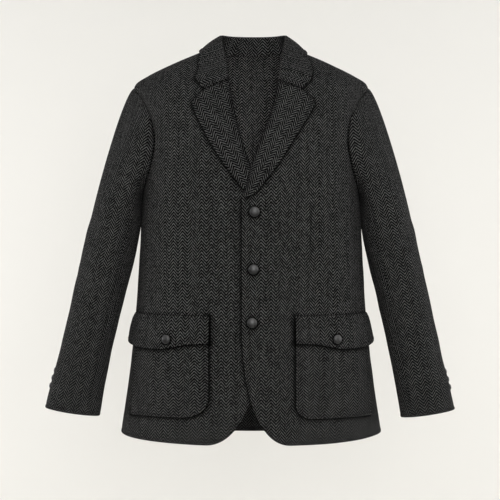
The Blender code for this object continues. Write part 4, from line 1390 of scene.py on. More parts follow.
@dataclass
class Sleeves:
    """Both sleeves, each an upper and an under piece."""

    head_rows: int = 44
    arm_rows: int = 88
    upper_columns: int = 58
    under_columns: int = 44
    head_gather: float = 1.25
    head_lines: tuple[float, ...] = (0.0, 0.004, 0.011, 0.02)
    head_start: float = 0.034
    arm_end: float = 1.985
    cuff_lines: tuple[float, ...] = (1.99, 1.9945, 1.998, 2.0)
    width: float = 0.2

    def cloth(self, side: int, upper: bool) -> Cloth:
        """Cut and place one piece of a sleeve.

        Args:
            side: 1 on the left, -1 on the right.
            upper: the upper piece, or else the under one.

        Returns:
            The piece of cloth.
        """
        reach = np.concatenate([
            self.head_lines, np.linspace(self.head_start, 1, self.head_rows)[:-1] ** self.head_gather,
            np.linspace(1, self.arm_end, self.arm_rows), self.cuff_lines])
        reach = np.sort(reach)
        forearm, hind = SLEEVE.seam_turn(False, reach), SLEEVE.seam_turn(True, reach)
        first, last = (forearm, hind) if upper else (hind, forearm + 2 * math.pi)
        across = shares(self.upper_columns if upper else self.under_columns, self.width)[None, :]
        turn = first[:, None] + (last - first)[:, None] * across
        reaches = np.repeat(reach[:, None], across.shape[1], axis=1)
        outer, inner = SLEEVE.skins(turn, reaches, side)
        level = SLEEVE.flat_across(turn, reaches, side)
        start = int(np.argmin(np.abs(reach - 1.0)))
        along = -grain(outer, level, start)
        edges = {"first_row": Edge.SEAM, "last_row": Edge.TURNED,
                 "first_column": Edge.PRESSED, "last_column": Edge.PRESSED}
        kind = "upper" if upper else "under"
        flip = np.array([side, 1, 1])
        return Cloth(f"tweed_sleeve_{kind}_{hand_name(side)}", outer * flip, inner * flip,
                     joined(side * level, along), edges,
                     weights={"first_row": BodyPanels().seam_weight(outer[:1, :, 2])})


# ---------------------------------------------------------------- collar
class CollarCut(NamedTuple):
    """A cut across half the collar; neck is an angle behind the shoulder, a height before it."""

    neck: float
    fold_aside: float
    fold_back: float
    fold_height: float
    edge_angle: float
    edge_height: float
    turn: float
    drop: float


@dataclass
class Collar:
    """The turned-down collar."""

    behind: tuple[CollarCut, ...] = listed(
        CollarCut,
        (90.0, 0.0, 0.069, 0.0525, 90.0, 0.003, 0.0, 0.0),
        (72.0, 0.0235, 0.067, 0.0525, 72.0, 0.0034, 0.0, 0.0),
        (53.0, 0.043, 0.0565, 0.052, 54.0, 0.0048, 0.0, 0.0),
        (33.0, 0.0575, 0.0385, 0.0512, 31.0, 0.0088, 0.0, 0.0006),
        (9.0, 0.0636, 0.018, 0.0484, 10.0, 0.0122, -1.5, 0.0016))
    before: tuple[CollarCut, ...] = listed(
        CollarCut,
        (0.0185, 0.0634, 0.006, 0.04, -10.0, 0.0124, 0.0, 0.002),
        (0.011, 0.0602, -0.011, 0.025, -36.0, 0.003, 2.8, 0.0009),
        (-0.004, 0.056, -0.033, 0.006, -53.9, -0.0228, 3.4, -0.0007),
        (-0.027, 0.0515, -0.058, -0.024, -59.9, -0.0427, 1.3, 0.0004))
    corner: CollarCut = CollarCut(-0.047, 0.0468, -0.0715, -0.0455, -66.7, -0.0666, 1.15, -0.0003)
    fold_radius: float = 0.003
    fall_bulge: float = 0.002
    stand_gap: float = 0.0016
    fall_gap: float = 0.0016
    ridge_gap: float = 0.0022
    ridge_angle: float = 6.0
    ridge_width: float = 22.0
    stand_shade: float = 0.72
    shade_span: Pair = (0.045, 0.075)
    notch_cuts: tuple[float, ...] = (0.03, 0.09, 0.16, 0.29)
    shade_rise: Pair = (-0.004, 0.003)
    steps: int = 9
    stand_width: float = 0.035
    stand_lines: Pair = (0.001, 0.0025)
    fall_width: float = 0.055
    stand_rows: int = 8
    fold_rows: int = 9
    fall_rows: int = 16

    def room(self, angle: float) -> float:
        """Give extra room round the sharp bend over the shoulder."""
        off = (math.degrees(angle) - self.ridge_angle) / self.ridge_width
        return self.ridge_gap * math.exp(-off ** 2)

    def profile(self, neck: Array, fold: Array, edge: Array, edge_out: Array,
                inset: float) -> tuple[Array, Array]:
        """Draw one cut from the neck seam over the fold to the edge.

        Args:
            neck: the panels' inner skin at the neck seam.
            fold: top of the fold.
            edge: outer edge of the fall.
            edge_out: direction out of the panels there.
            inset: how far the stand stands inside the panels.

        Returns:
            Points of the outer skin, and its normals.
        """
        level = edge - fold
        level[2] = 0.0
        aside = level / np.linalg.norm(level)
        up = np.array([0.0, 0.0, 1.0])
        centre = fold - up * self.fold_radius
        foot = neck - aside * inset
        stand = centre - foot
        stand_out = unit(np.cross(np.cross(aside, up), stand))
        stand_out = -stand_out if stand_out @ aside > 0 else stand_out
        fall = edge - centre
        fall_out = unit(np.cross(fall, np.cross(aside, up)))
        fall_out = -fall_out if fall_out @ aside < 0 else fall_out
        points, normals = [], []
        top = centre + stand_out * self.fold_radius
        for share in shares(self.stand_rows, self.stand_width, self.stand_lines)[:-2]:
            points.append(foot + (top - foot) * share)
            normals.append(unit(-aside * (1 - share) + stand_out * share))
        for share in np.linspace(0, 1, self.fold_rows):
            way = unit(stand_out * (1 - share) + fall_out * share + up * math.sin(share * math.pi))
            points.append(centre + way * self.fold_radius)
            normals.append(way)
        start = centre + fall_out * self.fold_radius
        for share in shares(self.fall_rows, self.fall_width)[2:]:
            bow = self.fall_bulge * math.sin(share * math.pi)
            points.append(start + (edge - start) * share + fall_out * bow)
            normals.append(unit(fall_out * (1 - share) + edge_out * share))
        return np.array(points), np.array(normals)

    def half(self, side: int) -> tuple[Array, Array]:
        """Place the outer and inner skins of half the collar, from its middle to its end.

        Args:
            side: 1 on the left, -1 on the right.

        Returns:
            The points of both.
        """
        flip = np.array([side, 1, 1])
        outer, inner = [], []
        notch = (self.before[-1], self.corner)
        for table in (self.behind, self.before, notch):
            knots = np.arange(len(table))
            cuts = np.linspace(0, len(table) - 1, self.steps * (len(table) - 1) + 1)
            if table is notch:
                cuts = np.sort(np.concatenate([cuts[1:], 1 - np.array(self.notch_cuts)]))
            columns = [smooth(knots, column, cuts) for column in zip(*table)]
            for row in zip(*columns):
                cut = CollarCut(*(float(value) for value in row))
                if table is self.behind:
                    angle = math.radians(cut.neck)
                    height = BODY.back_edge(angle)
                else:
                    height = np.array(cut.neck)
                    angle = float(BODY.front_angle(BODY.front_edge(height, side), height))
                neck = BODY.laid(side_angle(angle, side), height, -CLOTH)
                edge_angle = side_angle(math.radians(cut.edge_angle + side * cut.turn), side)
                edge_height = cut.edge_height - side * cut.drop
                lift = FACED_CLOTH + self.fall_gap + self.room(math.radians(cut.edge_angle))
                edge = BODY.laid(edge_angle, edge_height, lift)
                edge_out = BODY.normal(edge_angle, edge_height)
                lean = float(BODY.lean(cut.fold_height, side))
                fold = np.array([cut.fold_aside + lean, cut.fold_back, cut.fold_height])
                inset = FACED_CLOTH + self.stand_gap + self.room(angle)
                points, normals = self.profile(neck * flip, fold, edge * flip, edge_out * flip, inset)
                outer.append(points * flip)
                inner.append((points - normals * FACED_CLOTH) * flip)
        return np.array(outer), np.array(inner)

    def cloth(self) -> Cloth:
        """Cut and place the collar, from one gorge seam round to the other.

        Returns:
            The piece of cloth.
        """
        left, left_inner = self.half(1)
        right, right_inner = self.half(-1)
        outer = np.concatenate([right[:0:-1], left])
        inner = np.concatenate([right_inner[:0:-1], left_inner])
        fold = self.stand_rows + self.fold_rows // 2
        centre = len(right) - 1
        along = steps_along(outer[:, fold:fold + 1], 0)
        along = np.repeat(along - along[centre], outer.shape[1], axis=1)
        across = steps_along(outer, 1)
        across = across - across[:, fold:fold + 1]
        edges = {"first_row": Edge.PRESSED, "last_row": Edge.PRESSED,
                 "first_column": Edge.HIDDEN, "last_column": Edge.TURNED}
        beside = ease(*self.shade_span, np.abs(along))
        shade = self.stand_shade * beside * (1 - ease(*self.shade_rise, across))
        return Cloth("tweed_collar", outer, inner, joined(along, across), edges, shade)


# ---------------------------------------------------------------- lapels
class LapelRow(NamedTuple):
    """A line across a lapel, from the roll line to its outer edge."""

    roll_height: float
    edge_aside: float
    edge_height: float


class RollPoint(NamedTuple):
    """A place where a lapel wraps round the edge of its front."""

    aside: float
    lift: float
    sideways: float


@dataclass
class Lapels:
    """The turned-back lapels."""

    table: tuple[LapelRow, ...] = listed(
        LapelRow,
        (-0.053, 0.0905, -0.0672),
        (-0.0655, 0.103, -0.08),
        (-0.079, 0.115, -0.0935),
        (-0.103, 0.1085, -0.111),
        (-0.137, 0.0915, -0.142),
        (-0.17, 0.0707, -0.178),
        (-0.201, 0.0503, -0.21),
        (-0.23, 0.03, -0.237),
        (-0.253, 0.0101, -0.262),
        (-0.268, -0.007, -0.2735))
    roll: tuple[RollPoint, ...] = listed(
        RollPoint,
        (0.0026, -0.0019, 1.0),
        (0.0037, -0.0012, 1.0),
        (0.0041, 0.0002, 0.95),
        (0.0038, 0.0014, 0.85),
        (0.0027, 0.0022, 0.7),
        (0.0012, 0.0026, 0.4))
    steps: int = 9
    columns: int = 30
    start: float = 0.012
    roll_step: float = 0.01
    puff_top: float = 0.0016
    puff_low: float = 0.004
    puff_rise: float = 0.07
    pressed: Pair = (-0.21, -0.16)
    soft: Pair = (-0.2, -0.1)
    weave_turn: float = math.radians(28.0)
    roll_shade: float = 0.85
    roll_shade_width: float = 0.0095
    notch_rows: tuple[float, ...] = (0.05, 0.17, 0.3)
    even_end: float = 0.9
    edge_lines: tuple[float, ...] = (0.1, 0.08, 0.066, 0.05, 0.036, 0.022, 0.008, 0.0)

    def cloth(self, side: int) -> Cloth:
        """Cut and place one lapel.

        Args:
            side: 1 on the left, -1 on the right.

        Returns:
            The piece of cloth.
        """
        knots = np.arange(len(self.table))
        last = len(self.table) - 1
        places = np.linspace(0, last, self.steps * last + 1)
        places = np.sort(np.concatenate([places, self.notch_rows]))
        roll_height, edge_aside, edge_height = (smooth(knots, column, places)
                                                for column in zip(*self.table))
        roll_aside = BODY.front_edge(roll_height, side)
        edge_aside = edge_aside + BODY.lean(edge_height, side)
        share = self.start + (1 - self.start) * np.concatenate(
            [np.linspace(0, self.even_end, self.columns)[:-1], 1 - np.array(self.edge_lines)])
        aside = roll_aside[:, None] + (edge_aside - roll_aside)[:, None] * share
        height = roll_height[:, None] + (edge_height - roll_height)[:, None] * share
        softness = 1 - ease(*self.soft, roll_height)
        pressed = ease(*self.pressed, roll_height) if side < 0 else 1.0
        puff = ((self.puff_top + (self.puff_low - self.puff_top) * softness) * pressed)[:, None]
        lift = LAY_GAP + FACED_CLOTH + puff * (1 - share) * (1 - np.exp(-share / self.puff_rise))
        outer_rows, inner_rows = [], []
        beyond = side_angle(BODY.front_angle(roll_aside - self.roll_step, roll_height), side)
        for roll in self.roll:
            angle = side_angle(BODY.front_angle(roll_aside - roll.aside, roll_height), side)
            base = BODY.lap(angle, roll_height, side) + roll.lift
            place = BODY.laid(angle, roll_height, base)
            towards = unit(BODY.laid(beyond, roll_height, base) - place)
            upright = 1 - roll.sideways ** 4
            way = unit(towards * roll.sideways + BODY.normal(angle, roll_height) * upright)
            outer_rows.append(place)
            inner_rows.append(place - way * FACED_CLOTH)
        angle = side_angle(BODY.front_angle(aside, height), side)
        base = BODY.lap(angle, height, side) + lift
        outer = np.concatenate([np.stack(outer_rows, axis=1), BODY.laid(angle, height, base)], axis=1)
        inner = np.concatenate([np.stack(inner_rows, axis=1),
                                BODY.laid(angle, height, base - FACED_CLOTH)], axis=1)
        back = steps_along(outer, 1)
        back = back[:, -1:] - back
        way = joined(edge_aside - roll_aside, edge_height - roll_height)
        way = unit(way)[:, None, :]
        flat = joined(edge_aside, edge_height)[:, None, :] - way * back[..., None]
        turn = self.weave_turn
        across = flat[..., 0] * math.cos(turn) - flat[..., 1] * math.sin(turn)
        along = flat[..., 0] * math.sin(turn) + flat[..., 1] * math.cos(turn)
        edges = {"first_row": Edge.PRESSED, "last_row": Edge.HIDDEN,
                 "first_column": Edge.HIDDEN, "last_column": Edge.TURNED}
        shade = self.roll_shade * bell(steps_along(outer, 1), self.roll_shade_width)
        return Cloth(f"tweed_lapel_{hand_name(side)}", outer, inner,
                     joined(side * across, along), edges, shade)


# ---------------------------------------------------------------- pockets and flaps
@dataclass
class PatchPockets:
    """The patch pockets, square under their flaps and round at the bottom."""

    inner: Pair = (0.0835, 0.0795)
    outer: float = math.radians(-24.0)
    top: float = -0.504
    bottoms: Pair = (-0.6838, -0.6818)
    width: float = 0.158
    corners: tuple[Pair, ...] = ((0.024, 0.01), (0.036, 0.008))
    puff: float = 0.0032
    puff_square: float = 0.8
    gap: float = 0.0009
    columns: int = 66
    rows: int = 76
    corner_steps: int = 9
    weave_shift: Pair = (0.0041, 0.0023)
    weave_scale: Pair = (0.92, 1.08)

    def puffed(self, across: Array, upward: Array) -> Array:
        """Give the extra lift over the front, by the shares of the width and height."""
        middle = np.sin(math.pi * np.clip(across, 0, 1)) * np.sin(math.pi * np.clip(upward, 0, 1))
        return self.puff * middle ** self.puff_square

    def corner_cut(self, distance: Array, radius: float) -> Array:
        """Give how far a round corner cuts in at a distance from the other edge."""
        inside = np.clip(radius - distance, 0.0, radius)
        return radius - np.sqrt(radius * radius - inside * inside)

    def place(self, side: int) -> tuple[Array, Array, Array]:
        """Place a pocket's grid over its front.

        Args:
            side: 1 on the left, -1 on the right.

        Returns:
            Angles as if on the left, heights, and lifts of the outer skin.
        """
        hand = 0 if side > 0 else 1
        tall = self.top - self.bottoms[hand]
        turn = 1 - np.cos(np.linspace(math.pi / 4, math.pi / 2, self.corner_steps))
        front, rear = self.corners[hand]
        middle = np.linspace(front, self.width - rear, self.columns + 1)[1:-1]
        across = np.concatenate([front * turn, middle, self.width - rear * turn[::-1]])
        cut = self.corner_cut(across, front) + self.corner_cut(self.width - across, rear)
        level = np.linspace(0, self.width, len(across))
        top = joined(level, np.full_like(across, tall))
        sides = []
        for radius in (front, rear):
            upward = np.concatenate([radius * turn, np.linspace(radius, tall, self.rows + 1)[1:]])
            sides.append(joined(self.corner_cut(upward, radius), upward))
        place = spread(joined(across, cut), top, sides[0],
                       sides[1] * [-1, 1] + [self.width, 0],
                       np.linspace(0, 1, len(sides[0])), np.linspace(0, 1, len(across)))
        share = place[..., 0] / self.width
        height = self.bottoms[hand] + place[..., 1]
        start = BODY.front_angle(self.inner[hand] + 0.0 * height, height)
        angle = start + (self.outer - start) * share
        return angle, height, self.gap + CLOTH + self.puffed(share, place[..., 1] / tall)

    def cloth(self, side: int) -> Cloth:
        """Cut and place one pocket.

        Args:
            side: 1 on the left, -1 on the right.

        Returns:
            The piece of cloth.
        """
        angle, height, lift = self.place(side)
        places = GRAIN.front(angle, height, side) * self.weave_scale + np.array(self.weave_shift)
        edges = {"first_row": Edge.TURNED, "last_row": Edge.HIDDEN,
                 "first_column": Edge.TURNED, "last_column": Edge.TURNED}
        return lay_cloth(f"pocket_{hand_name(side)}", side_angle(angle, side), height, lift, places,
                         edges)


class FlapDrop(NamedTuple):
    """Depth of a flap below its seam at a share of its width."""

    share: float
    drop: float


class FlapLift(NamedTuple):
    """How far a flap stands off the front at a share of its depth."""

    down: float
    lift: float


@dataclass
class PocketFlaps:
    """The pocket flaps, sewn at the top and hanging free over the pockets."""

    top: float = -0.4935
    top_rise: float = 0.004
    inner: Pair = (0.0825, 0.078)
    outer_top: float = math.radians(-15.0)
    outer_low: float = math.radians(-2.0)
    stand_out: float = 0.0015
    drops: tuple[FlapDrop, ...] = listed(
        FlapDrop,
        (0.0, 0.05), (0.15, 0.0525), (0.26, 0.0585),
        (0.38, 0.0628), (0.58, 0.062), (0.78, 0.0588),
        (0.91, 0.056), (1.0, 0.053))
    lifts: tuple[FlapLift, ...] = listed(
        FlapLift,
        (0.0, 0.0029), (0.22, 0.0062),
        (0.6, 0.0078), (1.0, 0.009))
    columns: int = 84
    rows: int = 30
    width: float = 0.19
    depth: float = 0.058
    weave_shift: Pair = (0.0012, 0.0037)

    def place(self, share: Array, down: Array, side: int) -> tuple[Array, Array, Array]:
        """Place points of a flap over the front.

        Args:
            share: shares of the flap's width, from its front end.
            down: shares of its depth.
            side: 1 on the left, -1 on the right.

        Returns:
            Angles as if on the left, heights, and lifts of the outer skin.
        """
        drop = smooth(*zip(*self.drops), share)
        height = self.top + self.top_rise * share ** 2 - drop * down
        inner = self.inner[0] if side > 0 else self.inner[1]
        start = BODY.front_angle(inner + 0.0 * height, height)
        end = self.outer_top + (self.outer_low - self.outer_top) * down
        angle = start + (end - start) * share
        lift = smooth(*zip(*self.lifts), down)
        return angle, height, lift + self.stand_out * share ** 3 * down ** 2

    def cloth(self, side: int) -> Cloth:
        """Cut and place one flap.

        Args:
            side: 1 on the left, -1 on the right.

        Returns:
            The piece of cloth.
        """
        share, down = np.meshgrid(shares(self.columns, self.width), shares(self.rows, self.depth))
        angle, height, lift = self.place(share, down, side)
        places = GRAIN.front(angle, height, side) + np.array(self.weave_shift)
        return lay_cloth(f"flap_{hand_name(side)}", side_angle(angle, side), height, lift, places,
                         dict.fromkeys(SIDES, Edge.TURNED))


# ---------------------------------------------------------------- buttons
@dataclass(frozen=True)
class ButtonSize:
    """Size of a domed leather button."""

    radius: float
    tall: float


class Spot(NamedTuple):
    """A button's node and size, its foot on the cloth and the direction that it faces."""

    node: str
    size: ButtonSize
    foot: Array
    outward: Array


@dataclass
class Buttons:
    """The leather buttons: three in front, one on each flap and three on each cuff."""

    front_size: ButtonSize = ButtonSize(0.0092, 0.0062)
    flap_size: ButtonSize = ButtonSize(0.0084, 0.0056)
    cuff_size: ButtonSize = ButtonSize(0.007, 0.0048)
    gap: float = 0.0004
    front_places: tuple[EdgePoint, ...] = listed(
        EdgePoint, (-0.3, 0.0065), (-0.4066, 0.0046), (-0.5056, 0.0019))
    flap_share: float = 0.32
    flap_down: float = 0.72
    cuff_buttons: int = 3
    cuff_top: float = -0.616
    cuff_pitch: float = 0.0149
    cuff_turn: float = math.radians(13.0)
    outline: tuple[Pair, ...] = (
        (0.0, 1.0), (0.1, 0.996), (0.2, 0.985), (0.3, 0.967), (0.4, 0.943), (0.5, 0.912),
        (0.6, 0.867), (0.7, 0.8), (0.79, 0.712), (0.87, 0.605), (0.94, 0.485), (0.985, 0.385),
        (1.0, 0.33), (0.985, 0.25), (0.94, 0.17), (0.86, 0.1), (0.7, 0.04), (0.45, 0.0),
        (0.2, 0.0), (0.0, 0.0))
    dome_rings: int = 13
    turns: int = 56
    strap: float = 0.62
    strap_depth: float = 0.03
    strap_round: float = 0.94
    strap_bow: float = 0.35
    rim_power: int = 6
    draw: float = 0.5

    def knot(self, x: Array, y: Array) -> Array:
        """Give the relief of straps plaited over the dome.

        Args:
            x: places one way, in radii.
            y: places the other way.

        Returns:
            The relief, between 0 and 1.
        """
        u, v = (x + y) / math.sqrt(2) / self.strap, (x - y) / math.sqrt(2) / self.strap
        column, row = np.floor(u + 0.5), np.floor(v + 0.5)
        over = (column + row) % 2 == 0
        across = np.where(over, u - column, v - row)
        along = np.where(over, v - row, u - column)
        round_over = np.sqrt(np.clip(1 - (2 * across) ** 2 * self.strap_round, 0, 1))
        return round_over * (1 - self.strap_bow * (2 * along) ** 2)

    def mesh(self, spot: Spot) -> bpy.types.Object:
        """Model one button standing on the cloth.

        Args:
            spot: where it stands.

        Returns:
            The object, at the origin.
        """
        radius, tall = spot.size.radius, spot.size.tall
        facing = Vector(spot.outward).to_track_quat("Z", "Y").to_matrix()
        knob = bmesh.new()
        rings = []
        for aside, high in self.outline:
            ring = []
            for step in range(self.turns if aside else 1):
                about = 2 * math.pi * step / self.turns
                x, y = aside * math.cos(about), aside * math.sin(about)
                ring.append(knob.verts.new((x * radius, y * radius, high * tall)))
            rings.append(ring)
        for vertex in (vertex for ring in rings[:self.dome_rings] for vertex in ring):
            x, y = vertex.co.x / radius, vertex.co.y / radius
            edge = 1 - min(1.0, math.hypot(x, y)) ** self.rim_power
            sink = self.strap_depth * radius * (1 - float(self.knot(np.array(x), np.array(y))))
            vertex.co.z -= sink * edge
            vertex.co.x -= x * sink * self.draw
            vertex.co.y -= y * sink * self.draw
        for first, second in zip(rings, rings[1:]):
            for step in range(self.turns):
                after = (step + 1) % self.turns
                if len(first) == 1:
                    knob.faces.new((first[0], second[step], second[after]))
                elif len(second) == 1:
                    knob.faces.new((first[step], second[0], first[after]))
                else:
                    knob.faces.new((first[step], second[step], second[after], first[after]))
        knob.transform(Matrix.Translation(Vector(spot.foot)) @ facing.to_4x4())
        bmesh.ops.recalc_face_normals(knob, faces=knob.faces[:])
        name = f"leather_{spot.node}"
        mesh = bpy.data.meshes.new(name)
        knob.to_mesh(mesh)
        knob.free()
        mesh.shade_smooth()
        return add_object(name, mesh)

    def spots(self) -> list[Spot]:
        """Find where each button sits.

        Returns:
            The buttons' spots.
        """
        found = []
        for number, spot in enumerate(self.front_places, start=1):
            height = np.array(spot.height)
            angle = BODY.front_angle(spot.aside, height)
            foot = BODY.laid(angle, height, BODY.lap(angle, height, 1) + self.gap)
            found.append(Spot(f"button_front_{number}", self.front_size, foot,
                              BODY.normal(angle, height)))
        top, low = SLEEVE.rings[0].height, SLEEVE.rings[-1].height
        for hand, side in HANDS.items():
            share, down = np.array(self.flap_share), np.array(self.flap_down)
            angle, height, lift = PocketFlaps().place(share, down, side)
            turned = side_angle(angle, side)
            foot = BODY.laid(turned, height, lift + self.gap)
            found.append(Spot(f"button_flap_{hand}", self.flap_size, foot,
                              BODY.normal(turned, height)))
            for number in range(self.cuff_buttons):
                level = self.cuff_top - number * self.cuff_pitch
                reach = np.array([1 + (top - level) / (top - low)])
                turn = SLEEVE.seam_turn(True, reach) - self.cuff_turn
                outer, inner = SLEEVE.skins(turn, reach, side)
                outward = unit(outer - inner)[0]
                flip = np.array([side, 1, 1])
                found.append(Spot(f"button_cuff_{hand}_{number + 1}", self.cuff_size,
                                  (outer[0] + outward * self.gap) * flip, outward * flip))
        return found


# ---------------------------------------------------------------- finishes
def open_tree(name: str, kind: str, inputs: dict[str, tuple[str, float | None]],
              outputs: dict[str, str]) -> tuple[bpy.types.NodeTree, dict[str, str]]:
    """Start a node group with named sockets.

    Args:
        name: the group's name.
        kind: its type.
        inputs: each input's type and first value, by name.
        outputs: each output's type, by name.

    Returns:
        The group, and its inputs' identifiers by name.
    """
    tree = bpy.data.node_groups.new(name, kind)
    marks = {}
    for label, (sort, value) in inputs.items():
        socket = tree.interface.new_socket(label, in_out="INPUT", socket_type=f"NodeSocket{sort}")
        marks[label] = socket.identifier
        if value is not None:
            socket.default_value = value
    for label, sort in outputs.items():
        tree.interface.new_socket(label, in_out="OUTPUT", socket_type=f"NodeSocket{sort}")
    return tree, marks


class Graph:
    """Writes nodes with short calls."""

    def __init__(self, tree: bpy.types.NodeTree) -> None:
        """Keep the tree that nodes are added to."""
        self.tree = tree

    def node(self, kind: str, inputs: dict[str | int, object] | None = None,
             **settings: object) -> bpy.types.Node:
        """Add a node.

        Args:
            kind: the node's type.
            inputs: sockets and plain values for its inputs, by name or place.
            settings: the node's own properties.

        Returns:
            The node.
        """
        added = self.tree.nodes.new(kind)
        for name, value in settings.items():
            setattr(added, name, value)
        for place, value in (inputs or {}).items():
            self.feed(added.inputs[place], value)
        return added

    def feed(self, socket: Socket, value: object) -> None:
        """Fill one input.

        Args:
            socket: the input.
            value: a socket to link into it, or a plain value.
        """
        if isinstance(value, Socket):
            self.tree.links.new(value, socket)
        else:
            socket.default_value = value

    def math(self, operation: str, *values: object) -> Socket:
        """Add a Math node and give its result."""
        return self.node("ShaderNodeMath", dict(enumerate(values)), operation=operation).outputs[0]

    def plus(self, *values: object) -> Socket:
        """Add values up."""
        return reduce(lambda total, value: self.math("ADD", total, value), values)

    def minus(self, first: object, second: object) -> Socket:
        """Take one value from another."""
        return self.math("SUBTRACT", first, second)

    def times(self, *values: object) -> Socket:
        """Multiply values."""
        return reduce(lambda total, value: self.math("MULTIPLY", total, value), values)

    def span(self, value: object, low: float, rise: float) -> Socket:
        """Stretch a value between 0 and 1 to run from a low value on."""
        return self.plus(low, self.times(value, rise))

    def blend(self, share: object, first: object, second: object,
              mode: str = "MIX") -> Socket:
        """Add a colour Mix node and give its result."""
        return self.node("ShaderNodeMix", {0: share, 6: first, 7: second}, data_type="RGBA",
                         blend_type=mode).outputs[2]

    def noise(self, vector: object, scale: float, detail: float = 2.0,
              roughness: float = 0.5) -> Socket:
        """Add a Noise node and give its value."""
        return self.node("ShaderNodeTexNoise", {"Vector": vector, "Scale": scale, "Detail": detail,
                                                "Roughness": roughness}).outputs["Fac"]

    def chance(self, value: object) -> Socket:
        """Give a random number that belongs to a value."""
        return self.node("ShaderNodeTexWhiteNoise", {"W": value}, noise_dimensions="1D").outputs["Value"]

    def emboss(self, height: object, strength: float, distance: float) -> Socket:
        """Give the normals of a surface raised by a height."""
        return self.node("ShaderNodeBump", {"Strength": strength, "Distance": distance,
                                            "Height": height}).outputs[0]


def blank_finish(name: str, roughness: float, specular: float
                 ) -> tuple[Material, bpy.types.Node, Graph]:
    """Start a material.

    Args:
        name: the material's name.
        roughness: how rough it is all over.
        specular: its specular level.

    Returns:
        The material, its shader and the graph of its nodes.
    """
    finish = bpy.data.materials.new(name)
    finish.use_nodes = True
    shader = finish.node_tree.nodes["Principled BSDF"]
    shader.inputs["Roughness"].default_value = roughness
    shader.inputs["Specular IOR Level"].default_value = specular
    return finish, shader, Graph(finish.node_tree)


@dataclass(frozen=True)
class Herringbone:
    """The weave: twill that turns back at every stripe."""

    sway_scale: float = 95.0
    bob_scale: float = 130.0
    twill: float = 4.0
    shifted_share: float = 0.3
    shift: float = 2.0
    stripe_seed: float = 91.0
    pick_seed: float = 517.0
    weft_height: float = 0.7
    yarn_round: float = 1.6
    yarn_tone: float = 0.25
    float_tone: float = 0.75

    def group(self) -> bpy.types.NodeTree:
        """Build the weave as a group.

        Returns:
            A group that gives a mask of the warp yarns on top, a height and a tone for each yarn.
        """
        tree, _ = open_tree(
            "Herringbone weave", "ShaderNodeTree",
            {"Cloth": ("Vector", None), "Yarn": ("Float", 0.0013), "Pick": ("Float", 0.0015),
             "Stripe": ("Float", 7.0), "Wobble": ("Float", 0.2)},
            {"Warp": "Float", "Height": "Float", "Tone": "Float"})
        graph = Graph(tree)
        math_node, plus, minus, times = graph.math, graph.plus, graph.minus, graph.times
        cloth, yarn, pick_size, stripe, wobble = graph.node("NodeGroupInput").outputs[:5]
        split = graph.node("ShaderNodeSeparateXYZ", {0: cloth})
        sway = times(minus(graph.noise(cloth, self.sway_scale), 0.5), wobble)
        bob = times(minus(graph.noise(cloth, self.bob_scale), 0.5), wobble)
        u = plus(math_node("DIVIDE", split.outputs[0], yarn), sway)
        v = plus(math_node("DIVIDE", split.outputs[1], pick_size), bob)
        end_yarn, pick = math_node("FLOOR", u), math_node("FLOOR", v)
        column = math_node("FLOOR", math_node("DIVIDE", u, stripe))
        within = minus(u, times(column, stripe))
        odd = math_node("FLOORED_MODULO", column, 2.0)
        turned = plus(times(within, minus(1.0, odd)), times(minus(stripe, within), odd))
        chance = graph.chance(plus(column, self.stripe_seed))
        turned = plus(turned, times(math_node("LESS_THAN", chance, self.shifted_share), self.shift))
        run = math_node("DIVIDE", plus(turned, v), self.twill)
        phase = math_node("FRACT", run)

        def ridge(middle: float) -> Socket:
            """Round the twill line whose middle lies at a phase."""
            off = times(minus(phase, middle), self.twill)
            return math_node("MAXIMUM", minus(1.0, times(off, off)), 0.0)

        def bulge(place: Socket, number: Socket) -> Socket:
            """Round each yarn of a line a little."""
            off = minus(minus(place, number), 0.5)
            return minus(1.0, times(off, off, self.yarn_round))

        warp = math_node("LESS_THAN", phase, 0.5)
        rise = plus(times(ridge(0.25), bulge(u, end_yarn)),
                    times(ridge(0.75), bulge(v, pick), self.weft_height))
        number = plus(times(end_yarn, warp), times(plus(pick, self.pick_seed), minus(1.0, warp)))
        spot = graph.node("ShaderNodeCombineXYZ", {0: end_yarn, 1: math_node("FLOOR", run)})
        one_float = graph.node("ShaderNodeTexWhiteNoise", {"Vector": spot.outputs[0]},
                               noise_dimensions="2D").outputs["Value"]
        tone = plus(times(graph.chance(number), self.yarn_tone), times(one_float, self.float_tone))
        graph.node("NodeGroupOutput", {"Warp": warp, "Height": rise, "Tone": tone})
        return tree


